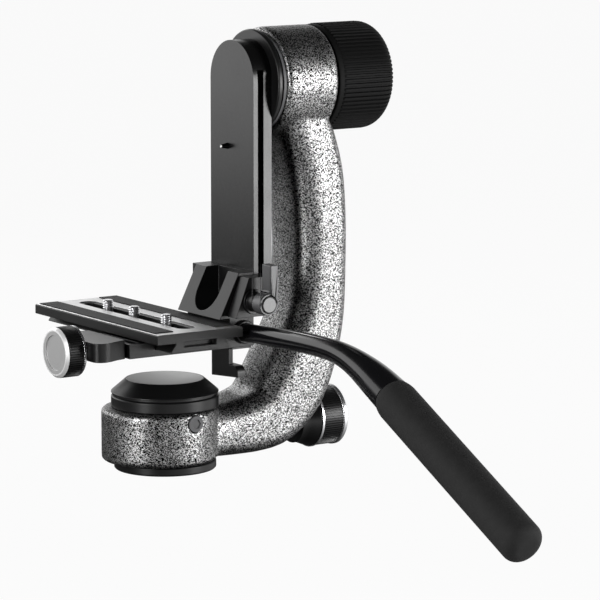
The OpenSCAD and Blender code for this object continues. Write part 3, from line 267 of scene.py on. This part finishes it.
def material(name, colour, roughness, metallic=0.0, specular=0.5):
    """A new material, its tree, and its shader node."""
    new = bpy.data.materials.new(name)
    new.use_nodes = True
    shader = new.node_tree.nodes["Principled BSDF"]
    shader.inputs["Base Color"].default_value = (*colour, 1)
    shader.inputs["Roughness"].default_value = roughness
    shader.inputs["Metallic"].default_value = metallic
    shader.inputs["Specular IOR Level"].default_value = specular
    return new, new.node_tree, shader


def place(tree):
    """The point on the piece, in metres, in the row frame."""
    return part(tree, "ShaderNodeTexCoord", out="Object")


def noise(tree, where, scale, detail=2.0):
    return part(tree, "ShaderNodeTexNoise", (), {"Vector": where, "Scale": scale, "Detail": detail}, "Fac")


def bump(tree, shader, height, strength, depth):
    new = part(tree, "ShaderNodeBump", (), {"Height": height, "Strength": strength, "Distance": depth}, "Normal")
    tree.links.new(new.socket, shader.inputs["Normal"])


def anodised(name, tone=black, roughness=0.36, specular=0.33):
    """Blasted and anodised aluminium, a little cloudy."""
    new, tree, shader = material(name, (tone, tone, tone * 1.04), roughness, 0.0, specular)
    spot = place(tree)
    grain = noise(tree, spot, 2600, 3.0)
    cloud = noise(tree, spot, 45, 2.0)
    darker = (tone * 0.75, tone * 0.75, tone * 0.78)
    lighter = (tone * 1.3, tone * 1.3, tone * 1.36)
    plug(tree, shader.inputs["Base Color"], grey_mix(tree, cloud * 0.7 + grain * 0.3, darker, lighter))
    plug(tree, shader.inputs["Roughness"], cloud * 0.12 + grain * 0.08 + (roughness - 0.1))
    bump(tree, shader, grain, 0.12, 0.00008)
    return new


edge_tree = bpy.data.node_groups.new("broken_edges", "GeometryNodeTree")
edge_tree.interface.new_socket("Geometry", in_out="INPUT", socket_type="NodeSocketGeometry")
edge_tree.interface.new_socket("Geometry", in_out="OUTPUT", socket_type="NodeSocketGeometry")
edge_angle = math.radians(34)
group_in = edge_tree.nodes.new("NodeGroupInput")
weld = edge_tree.nodes.new("GeometryNodeMergeByDistance")
weld.inputs["Distance"].default_value = weld_gap
all_smooth = edge_tree.nodes.new("GeometryNodeSetShadeSmooth")
angle = edge_tree.nodes.new("GeometryNodeInputMeshEdgeAngle")
is_soft = edge_tree.nodes.new("FunctionNodeCompare")
is_soft.data_type = "FLOAT"
is_soft.operation = "LESS_THAN"
is_soft.inputs[1].default_value = edge_angle
edge_smooth = edge_tree.nodes.new("GeometryNodeSetShadeSmooth")
edge_smooth.domain = "EDGE"
group_out = edge_tree.nodes.new("NodeGroupOutput")
for a, b in (
    (group_in.outputs[0], weld.inputs["Geometry"]),
    (weld.outputs[0], all_smooth.inputs["Geometry"]),
    (all_smooth.outputs[0], edge_smooth.inputs["Geometry"]),
    (angle.outputs["Unsigned Angle"], is_soft.inputs[0]),
    (is_soft.outputs[0], edge_smooth.inputs["Shade Smooth"]),
    (edge_smooth.outputs[0], group_out.inputs[0]),
):
    edge_tree.links.new(a, b)


def dress(node, finish, chamfer=0.0):
    """A CAD node gets its material, smooth curved faces and, where it shows, broken edges."""
    piece = nodes[node]
    piece.data.materials.clear()
    piece.data.materials.append(finish)
    smooth = piece.modifiers.new("faces", "NODES")
    smooth.node_group = edge_tree
    if chamfer:
        broken = piece.modifiers.new("edges", "BEVEL")
        broken.width = chamfer * MM
        broken.segments = 2
        broken.limit_method = "ANGLE"
        broken.angle_limit = edge_angle
        broken.harden_normals = True
        broken.use_clamp_overlap = False
    return piece


black_anodised = anodised("black_anodised")
for node in ("bezel_ring", "cap", "tilt_disc", "tilt_flange", "rail_stop", "bracket", "rail_jaw", "clamp_jaw"):
    dress(node, black_anodised, 0.25)
dress("swing_rail", anodised("rail_black", black * 0.7, 0.27, rail_sheen))
dress("base_plate", black_anodised, 0.2)
dress("side_plug", anodised("plug_grey", 0.09, 0.45, 0.4), 0.15)
pin_metal, tree, shader = material("pin_bright_tip", (0.6, 0.6, 0.6), 0.3, 1.0)
pin_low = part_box("rail_pin")[0]
tip_length = 0.35 * MM
across = part(tree, "ShaderNodeSeparateXYZ", (), {"Vector": place(tree)}, "X")
tip = across < pin_low.x + tip_length
swirl = noise(tree, place(tree), 3000, 2.0)
plug(tree, shader.inputs["Base Color"], grey_mix(tree, tip, 0.01, grey_mix(tree, swirl, 0.5, 0.75)))
plug(tree, shader.inputs["Roughness"], swirl * 0.15 + 0.24)
dress("rail_pin", pin_metal, 0.1)
dress("handle_nut", black_anodised, 0.15)
dress("pan_knob_collar", anodised("collar_black", 0.004, 0.3, 0.4), 0.2)

# Steel and brass inside the head: spindle, shafts, bearings, screws, nuts and brakes.
# Turned or ground parts, none of which shows while the head is whole.
def turned_steel(name, tone, roughness, tint=(1.0, 1.0, 1.02)):
    """Metal with the fine marks of a lathe or a grinder."""
    new, tree, shader = material(name, [tone * t for t in tint], roughness, 1.0)
    rings = noise(tree, place(tree), 900, 2.0)
    plug(tree, shader.inputs["Roughness"], rings * 0.18 + (roughness - 0.09))
    bump(tree, shader, rings, 0.08, 0.00005)
    return new


steel = turned_steel("turned_steel", 0.55, 0.34)
bearing_steel = turned_steel("bearing_steel", 0.72, 0.16)
brass = turned_steel("brake_brass", 0.62, 0.32, (1.0, 0.78, 0.42))
for node in ("tripod_insert", "pan_spindle", "base_screws", "pan_washer", "pan_nut", "pan_lock_rod", "tilt_shaft",
             "rail_screws", "stop_screw", "tilt_nut", "clamp_screw", "lever_stud"):
    dress(node, steel)
for node in ("pan_inner_races", "pan_balls", "pan_outer_races", "tilt_inner_races", "tilt_balls", "tilt_outer_races",
             "lever_spring"):
    dress(node, bearing_steel)
for node in ("pan_brake_pad", "tilt_brake_disc"):
    dress(node, brass)
dress("tilt_knob_core", turned_steel("knob_core_grey", 0.3, 0.4))

# The casting: housing, C-shaped arm and tilt hub in one piece of cast aluminium.
# It carries a black and white speckled texture paint, and its inner corners run out in small fillets.
speckle_grain = 2500
speckled, tree, shader = material("speckled_paint", (0.2, 0.2, 0.2), 0.62, 1.0, 0.5)
spot = place(tree)
cells = part(tree, "ShaderNodeTexVoronoi", {"feature": "F1"},
             {"Vector": spot, "Scale": speckle_grain, "Randomness": 1.0}, "Color")
pick = part(tree, "ShaderNodeSeparateColor", (), {"Color": cells}, 0)
drift = noise(tree, spot, 60, 2.0)
fleck = part(
    tree, "ShaderNodeValToRGB",
    {"stops": ((0.0, 0.002), (0.5, 0.004), (0.55, 0.12), (0.68, 0.36), (1.0, 0.6))},
    {"Fac": pick + drift * 0.16 - 0.08}, "Color",
)
plug(tree, shader.inputs["Base Color"], fleck)
grain = noise(tree, spot, 1900, 2.0)
plug(tree, shader.inputs["Roughness"], 0.37 + grain * 0.12)
bump(tree, shader, grain * 0.6 + pick * 0.4, 0.2, 0.0003)

cast_voxel = 1.15 * MM
cast_passes = 5
cast_ease = 0.5


def copy_of(node, name):
    """A welded copy of a CAD node's mesh, as a piece of its own."""
    work = bmesh.new()
    work.from_mesh(nodes[node].data)
    bmesh.ops.remove_doubles(work, verts=work.verts, dist=weld_gap)
    mesh = bpy.data.meshes.new(name)
    work.to_mesh(mesh)
    work.free()
    piece = bpy.data.objects.new(name, mesh)
    bpy.context.scene.collection.objects.link(piece)
    return piece


def settle(piece):
    """Turns a piece's modifiers into its plain mesh."""
    bpy.context.view_layer.update()
    seen_now = piece.evaluated_get(bpy.context.evaluated_depsgraph_get())
    mesh = bpy.data.meshes.new_from_object(seen_now)
    piece.modifiers.clear()
    piece.data = mesh
    return piece


casting = copy_of("c_arm", "casting")
skin = casting.modifiers.new("skin", "REMESH")
skin.mode = "VOXEL"
skin.voxel_size = cast_voxel
settle(casting)
even = casting.modifiers.new("even", "SMOOTH")
even.factor = cast_ease
even.iterations = cast_passes
settle(casting)
casting.data.shade_smooth()
casting.data.materials.clear()
casting.data.materials.append(speckled)
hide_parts("c_arm")
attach(casting, "yoke")

# The cap's disc and the hub's seal ring.
# The disc is a grey brushed plate let into the cap; the seal is a grey ring between the hub and the flange.
def brushed(name, tone, roughness, grain):
    """Bare metal with scratches that run where the grain, a scale for each direction, is low."""
    new, tree, shader = material(name, (tone, tone, tone * 1.02), roughness, 1.0)
    stretched = part(tree, "ShaderNodeMapping", (), {"Vector": place(tree), "Scale": grain}, "Vector")
    scratches = noise(tree, stretched, 1.0, 3.0)
    plug(tree, shader.inputs["Base Color"], grey_mix(tree, scratches, tone * 0.82, min(1.0, tone * 1.12)))
    plug(tree, shader.inputs["Roughness"], scratches * 0.16 + (roughness - 0.08))
    bump(tree, shader, scratches, 0.1, 0.00006)
    return new


dress("cap_disc", brushed("grey_disc", 0.46, 0.42, (2600, 160, 160)), 0.15)
dress("hub_seal", anodised("seal_grey", 0.16, 0.5, 0.4), 0.15)

# Tilt knob: a ribbed rubber grip moulded round a metal core.
# A smooth band stands next to the hub, and the ribs run from it over the rounded outer end.
rib_count = 72
rib_height = 0.9
band = 3.0
end_round = 9.0
knob_low, knob_high = (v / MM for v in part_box("tilt_knob_grip"))
knob_r = (knob_high.z - knob_low.z) / 2
knob_len = knob_high.x - knob_low.x
knob_centre = Vector((knob_low.x, 0, (knob_high.z + knob_low.z) / 2))
TURNS = {
    "x": Matrix(((0, 0, 1), (1, 0, 0), (0, 1, 0))),
    "z": Matrix.Identity(3),
}


def eased(points, reach, steps=3):
    """A profile with each inner corner rounded."""
    done = [points[0]]
    for before, here, after in zip(points, points[1:], points[2:]):
        here = Vector(here)
        back = Vector(before) - here
        on = Vector(after) - here
        start = here + back.normalized() * min(reach, back.length / 2)
        end = here + on.normalized() * min(reach, on.length / 2)
        for s in range(steps + 1):
            t = s / steps
            done.append(tuple(start * (1 - t) ** 2 + here * (2 * t * (1 - t)) + end * t ** 2))
    done.append(points[-1])
    return done


def make_piece(name, work, finish, soft=math.radians(40)):
    """Turns a bmesh in millimetres into a shaded piece in metres."""
    bmesh.ops.remove_doubles(work, verts=work.verts, dist=0.0005)
    bmesh.ops.recalc_face_normals(work, faces=work.faces)
    mesh = bpy.data.meshes.new(name)
    work.to_mesh(mesh)
    work.free()
    mesh.transform(Matrix.Scale(MM, 4))
    mesh.shade_smooth()
    mesh.set_sharp_from_angle(angle=soft)
    mesh.materials.append(finish)
    piece = bpy.data.objects.new(name, mesh)
    bpy.context.scene.collection.objects.link(piece)
    return piece


def lathe(work, profile, centre, axis, steps=144):
    """Adds a turned body: profile is (place along the axis, radius), closed on the axis at both ends."""
    turn = TURNS[axis]
    rings = []
    for along, radius in profile:
        if radius < 0.0001:
            rings.append([work.verts.new(centre + turn @ Vector((0, 0, along)))])
        else:
            rings.append([
                work.verts.new(centre + turn @ Vector((radius * math.cos(a), radius * math.sin(a), along)))
                for a in (2 * math.pi * k / steps for k in range(steps))
            ])
    for one, two in zip(rings, rings[1:]):
        for k in range(steps):
            n = (k + 1) % steps
            corners = [one[k % len(one)], one[n % len(one)], two[n % len(two)], two[k % len(two)]]
            unique = list(dict.fromkeys(corners))
            if len(unique) > 2:
                work.faces.new(unique)


def turned(name, profile, centre, axis, finish):
    """A piece turned from one profile."""
    work = bmesh.new()
    lathe(work, profile, centre, axis)
    return make_piece(name, work, finish)


rubber, tree, shader = material("ribbed_rubber", (0.02, 0.02, 0.021), 0.6, 0.0, 0.12)
spot = place(tree)
dust = noise(tree, spot, 1400, 3.0)
plug(tree, shader.inputs["Base Color"], grey_mix(tree, dust, 0.0015, 0.006))
plug(tree, shader.inputs["Roughness"], 0.5 + dust * 0.25)
bump(tree, shader, dust, 0.3, 0.00012)

core_r = knob_r - rib_height
band_r = core_r + rib_height * 0.4
cap_step, cap_depth = 1.2, 1.0
arc = [(knob_len - end_round + end_round * math.sin(t), core_r - end_round * (1 - math.cos(t)))
       for t in (math.radians(d) for d in range(0, 91, 10))]
cap_r = arc[-1][1] - cap_step
knob_body = turned(
    "tilt_knob_body",
    eased([(0, 0), (0, band_r), (band, band_r), (band, core_r)], 0.4)
    + arc[:-1] + [(knob_len, arc[-1][1]), (knob_len, cap_r), (knob_len - cap_depth, cap_r), (knob_len - cap_depth, 0)],
    knob_centre, "x", rubber,
)
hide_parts("tilt_knob_grip")
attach(knob_body, "tilt_lock")


def ring_tree():
    """Repeats the piece's own mesh round an axis through its centre, and gives it a material."""
    tree = bpy.data.node_groups.new("round_the_axis", "GeometryNodeTree")
    for name, kind in (("Geometry", "Geometry"), ("Count", "Int"), ("Centre", "Vector"), ("Axis", "Vector"),
                       ("Finish", "Material")):
        tree.interface.new_socket(name, in_out="INPUT", socket_type="NodeSocket" + kind)
    tree.interface.new_socket("Geometry", in_out="OUTPUT", socket_type="NodeSocketGeometry")
    given = tree.nodes.new("NodeGroupInput")
    points = tree.nodes.new("GeometryNodePoints")
    index = tree.nodes.new("GeometryNodeInputIndex")
    share = tree.nodes.new("ShaderNodeMath")
    share.operation = "DIVIDE"
    angle = tree.nodes.new("ShaderNodeMath")
    angle.operation = "MULTIPLY"
    angle.inputs[1].default_value = 2 * math.pi
    euler = tree.nodes.new("ShaderNodeVectorMath")
    euler.operation = "SCALE"
    rotation = tree.nodes.new("FunctionNodeEulerToRotation")
    copies = tree.nodes.new("GeometryNodeInstanceOnPoints")
    real = tree.nodes.new("GeometryNodeRealizeInstances")
    painted = tree.nodes.new("GeometryNodeSetMaterial")
    result = tree.nodes.new("NodeGroupOutput")
    for a, b in (
        (given.outputs["Count"], points.inputs["Count"]),
        (given.outputs["Centre"], points.inputs["Position"]),
        (index.outputs[0], share.inputs[0]),
        (given.outputs["Count"], share.inputs[1]),
        (share.outputs[0], angle.inputs[0]),
        (given.outputs["Axis"], euler.inputs[0]),
        (angle.outputs[0], euler.inputs["Scale"]),
        (euler.outputs[0], rotation.inputs[0]),
        (rotation.outputs[0], copies.inputs["Rotation"]),
        (points.outputs[0], copies.inputs["Points"]),
        (given.outputs["Geometry"], copies.inputs["Instance"]),
        (copies.outputs[0], real.inputs[0]),
        (real.outputs[0], painted.inputs["Geometry"]),
        (given.outputs["Finish"], painted.inputs["Material"]),
        (painted.outputs[0], result.inputs[0]),
    ):
        tree.links.new(a, b)
    return tree


ring_of_copies = ring_tree()


def repeat_round(piece, count, centre, axis, finish):
    """One rib becomes a full ring of ribs, as one plain mesh."""
    copies = piece.modifiers.new("ring", "NODES")
    copies.node_group = ring_of_copies
    wanted = {"Count": count, "Centre": centre * MM, "Axis": axis, "Finish": finish}
    for item in ring_of_copies.interface.items_tree:
        if item.in_out == "INPUT" and item.name in wanted:
            copies[item.identifier] = wanted[item.name]
    return settle(piece)


def rib(name, path, half_angle, finish):
    """One rib along a path of (place along X, radius at its foot, radius at its top)."""
    work = bmesh.new()
    turn = TURNS["x"]
    rows = []
    for along, foot, top in path:
        row = []
        for share, radius in ((-1.0, foot), (-0.5, top), (0.5, top), (1.0, foot)):
            a = share * half_angle
            row.append(work.verts.new(turn @ Vector((radius * math.cos(a), radius * math.sin(a), along))))
        rows.append(row)
    for one, two in zip(rows, rows[1:]):
        for k in range(4):
            n = (k + 1) % 4
            work.faces.new((one[k], one[n], two[n], two[k]))
    work.faces.new(rows[0])
    work.faces.new(rows[-1])
    return make_piece(name, work, finish, math.radians(30))


sink = 0.25
rib_lead = 0.7
rib_share = 0.78
rib_end = 60
foot_r = core_r - sink
rib_path = [(band, foot_r, core_r), (band + rib_lead, foot_r, knob_r), (knob_len - end_round, foot_r, knob_r)]
for degrees in range(12, rib_end + 1, 8):
    t = math.radians(degrees)
    rise = rib_height * (1 - (degrees / rib_end) ** 3)
    rib_path.append((
        knob_len - end_round + (end_round + rise) * math.sin(t),
        core_r - end_round * (1 - math.cos(t)) - sink,
        core_r - end_round * (1 - math.cos(t)) + rise * math.cos(t),
    ))
knob_ribs = rib("tilt_knob_ribs", rib_path, math.pi / rib_count * rib_share, rubber)
repeat_round(knob_ribs, rib_count, knob_centre, (1, 0, 0), rubber)
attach(knob_ribs, "tilt_lock")
dress("tilt_knob_cap", anodised("knob_end_cap", 0.05, 0.35, 0.45), 0.2)

# Pan lock knob and clamp knob: black knurled bodies with bright rings.
# The knurl is a ring of fine straight teeth; the rings and the clamp knob's face are bare turned aluminium, and the
# face's outer rim carries a painted highlight.
knurl_black = anodised("knurled_black", 0.005, 0.34, 0.35)
bright = turned_steel("bright_ring", 0.8, 0.26)
tooth_start, tooth_full = 0.3, 0.7
tooth_sink = 0.15
tooth_share = 0.8


def fine_knob(name, node, body, count, height):
    """A knurled knob along X: a plain body and a ring of teeth of the given height."""
    low, high = (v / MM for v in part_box(node))
    centre = (low + high) / 2
    radius = (high.z - low.z) / 2
    length = high.x - low.x
    start = Vector((low.x, centre.y, centre.z))
    foot = radius - height
    core = turned(name + "_body", eased([(0, 0), (0, foot), (length, foot), (length, 0)], 0.3), start, "x", knurl_black)
    half_path = [(tooth_start, foot - tooth_sink, foot), (tooth_full, foot - tooth_sink, radius)]
    path = half_path + [(length - along, low_r, top_r) for along, low_r, top_r in reversed(half_path)]
    teeth = rib(name + "_teeth", path, math.pi / count * tooth_share, knurl_black)
    repeat_round(teeth, count, start, (1, 0, 0), knurl_black)
    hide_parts(node)
    for piece in (core, teeth):
        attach(piece, body)


fine_knob("pan_knob", "pan_lock_knob", "pan_lock", 76, 0.6)
fine_knob("clamp_grip", "clamp_knob", "clamp_turn", 66, 0.55)
dress("pan_knob_rings", bright, 0.25)
dress("clamp_knob_ring", bright, 0.2)



def off_axis(tree, centre, kept):
    """How far a point lies from a centre, along the directions that are kept."""
    off = part(tree, "ShaderNodeVectorMath", {"operation": "SUBTRACT"}, {0: place(tree), 1: centre}, "Vector")
    flat = part(tree, "ShaderNodeVectorMath", {"operation": "MULTIPLY"}, {0: off, 1: kept}, "Vector")
    return part(tree, "ShaderNodeVectorMath", {"operation": "LENGTH"}, {0: flat}, "Value")


face_metal, tree, shader = material("turned_face", (0.62, 0.62, 0.63), 0.3, 0.45)
low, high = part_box("clamp_knob_face")
rim_highlight_start = 0.84
radius = off_axis(tree, (low + high) / 2, (0, 1, 1))
rings = part(tree, "ShaderNodeTexNoise", {"noise_dimensions": "1D"}, {"W": radius, "Scale": 5200, "Detail": 2.0}, "Fac")
# The face's outer rim is painted near white: a painted highlight round the turned edge.
rim_highlight_mask = radius > rim_highlight_start * (high.z - low.z) / 2
plug(tree, shader.inputs["Base Color"], grey_mix(tree, rim_highlight_mask, grey_mix(tree, rings, 0.42, 0.62), 0.95))
plug(tree, shader.inputs["Roughness"], 0.3 + rings * 0.2)
bump(tree, shader, rings, 0.25, 0.00006)
dress("clamp_knob_face", face_metal, 0.2)

# Lever with its boss and push button.
# A satin black lever turns on a stud through the rail jaw; a grey button sits in a dark ring in its hub.
dress("jaw_boss", anodised("boss_black", 0.006, 0.3, 0.35), 0.25)
dress("lock_lever", anodised("satin_lever", 0.06, 0.38, 0.7), 0.5)
low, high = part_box("lever_button")
button_ring = 0.84
button_face, tree, shader = material("button_face", (0.4, 0.4, 0.4), 0.5, 0.0, 0.4)
seal = off_axis(tree, (low + high) / 2, (1, 0, 1)) > button_ring * (high.z - low.z) / 2
brush = noise(tree, place(tree), 1500, 3.0)
plug(tree, shader.inputs["Base Color"], grey_mix(tree, seal, grey_mix(tree, brush, 0.34, 0.5), 0.003))
plug(tree, shader.inputs["Roughness"], brush * 0.15 + 0.42)
dress("lever_button", button_face, 0.2)

# Quick plate, its rubber strips and camera screws.
# The plate is black with a bare machined top; rubber strips are let into it beside the screws' slot.
plate_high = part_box("quick_plate")[1]
bare_depth = 0.35 * MM
bare_tilt = 0.85
plate_metal, tree, shader = material("plate_black_and_bare", (black, black, black), 0.4, 0.0, 0.38)
spot = place(tree)
facing = part(tree, "ShaderNodeTexCoord", out="Normal")
up = part(tree, "ShaderNodeSeparateXYZ", (), {"Vector": facing}, "Z")
high_up = part(tree, "ShaderNodeSeparateXYZ", (), {"Vector": spot}, "Z")
bare = (up > bare_tilt) * (high_up > plate_high.z - bare_depth)
stretched = part(tree, "ShaderNodeMapping", (), {"Vector": spot, "Scale": (2400, 120, 200)}, "Vector")
scratches = noise(tree, stretched, 1.0, 3.0)
cloud = noise(tree, spot, 50, 2.0)
tones = grey_mix(tree, scratches, 0.5, 0.75)
plug(tree, shader.inputs["Base Color"], grey_mix(tree, bare, grey_mix(tree, cloud, 0.004, 0.008), tones))
plug(tree, shader.inputs["Metallic"], bare)
plug(tree, shader.inputs["Roughness"], bare * (scratches * 0.2 - 0.1) + 0.36 + cloud * 0.08)
bump(tree, shader, scratches, 0.1, 0.00005)
dress("quick_plate", plate_metal, 0.3)

strip_rubber, tree, shader = material("strip_rubber", (0.02, 0.02, 0.02), 0.65, 0.0, 0.35)
spot = place(tree)
pores = noise(tree, spot, 1800, 2.0)
plug(tree, shader.inputs["Base Color"], grey_mix(tree, pores, 0.003, 0.014))
plug(tree, shader.inputs["Roughness"], 0.55 + pores * 0.25)
bump(tree, shader, pores, 0.5, 0.0002)
dress("plate_pads", strip_rubber, 0.2)

thread_pitch = 1.27
thread_depth = 0.55
thread_turn_steps = 40
thread_levels = 40
thread_lead_in = 0.8
screw_neck_step = 0.4
screw_head = 2.6
screw_lift = 0.1
stud_r = 6.35 / 2
screw_metal = turned_steel("screw_steel", 0.8, 0.36)


def camera_screw(number):
    """A stud with a flat head, a thinner neck through the slot, and a rolled thread above the plate."""
    node = f"camera_screw_{number}"
    low, high = (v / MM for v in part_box(node))
    centre = Vector(((low.x + high.x) / 2, (low.y + high.y) / 2, low.z))
    head_r = (high.x - low.x) / 2
    neck_r = stud_r - screw_neck_step
    top = high.z - low.z
    foot = plate_high.z / MM + screw_lift - low.z
    work = bmesh.new()
    profile = [(0, 0), (0, head_r), (screw_head, head_r), (screw_head, neck_r), (foot, neck_r)]
    lathe(work, eased(profile, 0.2) + [(foot + 0.01, 0)], centre, "z", 48)
    rows = []
    for j in range(thread_levels + 1):
        z = foot + (top - foot) * j / thread_levels
        row = []
        for k in range(thread_turn_steps):
            turn = k / thread_turn_steps
            phase = (z / thread_pitch - turn) % 1
            r = min(stud_r - thread_depth * abs(2 * phase - 1), stud_r - thread_lead_in + (top - z))
            a = 2 * math.pi * turn
            row.append(work.verts.new(centre + Vector((r * math.cos(a), r * math.sin(a), z))))
        rows.append(row)
    for one, two in zip(rows, rows[1:]):
        for k in range(thread_turn_steps):
            n = (k + 1) % thread_turn_steps
            work.faces.new((one[k], one[n], two[n], two[k]))
    work.faces.new(rows[0])
    work.faces.new(rows[-1])
    piece = make_piece(f"camera_stud_{number}", work, screw_metal, math.radians(30))
    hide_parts(node)
    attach(piece, f"screw_{number}")


for number in (1, 2, 3):
    camera_screw(number)

# Handle: a bent steel bar, enamelled gloss black, that flares into a soft foam grip.
# It screws into the platform beside the rail, and the grip hangs down towards the photographer.
bar_r = 5.25
bar_x = 38.0
bar_z = 76.0
bar_y = -22.0
# Place along Y, height and radius of the bar: it rises a little, bends, and flares into the grip
bar_knots = (
    (-22.0, 75.8, 5.1), (-45.0, 76.8, 5.3), (-76.0, 78.0, 5.6), (-100.0, 78.3, 5.9), (-115.0, 77.5, 6.3),
    (-126.0, 75.6, 7.0), (-135.0, 73.2, 7.8), (-144.3, 70.0, 8.8), (-153.5, 66.3, 9.6), (-164.0, 61.7, 10.2),
)
grip_slope = math.radians(27)
grip_r = 11.5
grip_len = 131.3
gloss, tree, shader = material("gloss_black_enamel", (0.005, 0.005, 0.006), 0.16, 0.0, 0.42)
ripple = noise(tree, place(tree), 160, 2.0)
plug(tree, shader.inputs["Roughness"], 0.12 + ripple * 0.1)
bump(tree, shader, ripple, 0.04, 0.0002)
foam, tree, shader = material("grip_foam", (0.012, 0.012, 0.013), 0.8, 0.0, 0.25)
spot = place(tree)
pores = noise(tree, spot, 1500, 3.0)
patch = noise(tree, spot, 220, 2.0)
plug(tree, shader.inputs["Base Color"], grey_mix(tree, pores * 0.6 + patch * 0.4, 0.011, 0.034))
plug(tree, shader.inputs["Roughness"], 0.7 + pores * 0.2)
bump(tree, shader, pores * 0.7 + patch * 0.3, 0.55, 0.00035)


def sweep(name, stations, finish, sides=64):
    """A round bar through stations of (centre, direction, radius), closed at both ends."""
    work = bmesh.new()
    rows = []
    side = Vector((1, 0, 0))
    for centre, direction, radius in stations:
        up_way = side.cross(direction).normalized()
        rows.append([
            work.verts.new(centre + side * (radius * math.cos(a)) + up_way * (radius * math.sin(a)))
            for a in (2 * math.pi * k / sides for k in range(sides))
        ])
    for one, two in zip(rows, rows[1:]):
        for k in range(sides):
            n = (k + 1) % sides
            work.faces.new((one[k], one[n], two[n], two[k]))
    work.faces.new(rows[0])
    work.faces.new(rows[-1])
    return make_piece(name, work, finish)


def between(knots, steps):
    """A smooth run of points through the knots, each a tuple of numbers."""
    rows = [Vector(k) for k in knots]
    rows = [rows[0] * 2 - rows[1]] + rows + [rows[-1] * 2 - rows[-2]]
    run = []
    for a, b, c, d in zip(rows, rows[1:], rows[2:], rows[3:]):
        for s in range(steps):
            t = s / steps
            bend = a * 2 - b * 5 + c * 4 - d
            twist = b * 3 - a - c * 3 + d
            run.append((b * 2 + (c - a) * t + bend * t ** 2 + twist * t ** 3) / 2)
    return run + [rows[-2]]


level = Vector((0, -1, 0))
slope = Vector((0, -math.cos(grip_slope), -math.sin(grip_slope)))
root_len, root_gap = 6, 0.1
root_r = bar_r * 0.6
bar_way = [(Vector((bar_x, bar_y + ahead, bar_z)), level, root_r) for ahead in (root_len, root_gap)]
run = between(bar_knots, 8)
for before, here, after in zip([run[0]] + run, run, run[1:] + [run[-1]]):
    way = Vector((0, after.x - before.x, after.y - before.y)).normalized()
    bar_way.append((Vector((bar_x, here.x, here.y)), way, here.z))
bar_end = bar_way[-1][0]
rim = bar_knots[-1][2]
bar_way[-1] = (bar_end, slope, rim)
bar_way.append((bar_end + slope * 0.3, slope, rim - 0.25))
bar_way.append((bar_end + slope * 0.4, slope, bar_r))
bar = sweep("pan_bar", bar_way, gloss)
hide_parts("handle_bar")
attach(bar, "platform")

end_dome = 6.0
grip_full = 10.0
grip_way = [(0.3, rim - 0.3), (0.7, rim), (2.0, rim + 0.55), (4.0, rim + 1.0), (6.5, rim + 1.3), (grip_full, grip_r)]
grip_rows = 24
straight = grip_len - grip_full - end_dome
for s in range(1, grip_rows):
    grip_way.append((grip_full + straight * s / grip_rows, grip_r))
for s in range(10):
    t = math.radians(10 * s)
    grip_way.append((grip_len - end_dome + end_dome * math.sin(t), grip_r - end_dome * (1 - math.cos(t))))
stations = [(bar_end + slope * along, slope, radius) for along, radius in grip_way]
grip = sweep("foam_grip", [(stations[0][0], slope, bar_r)] + stations + [(stations[-1][0], slope, 2.0)], foam, 72)
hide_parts("handle_grip")
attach(grip, "platform")
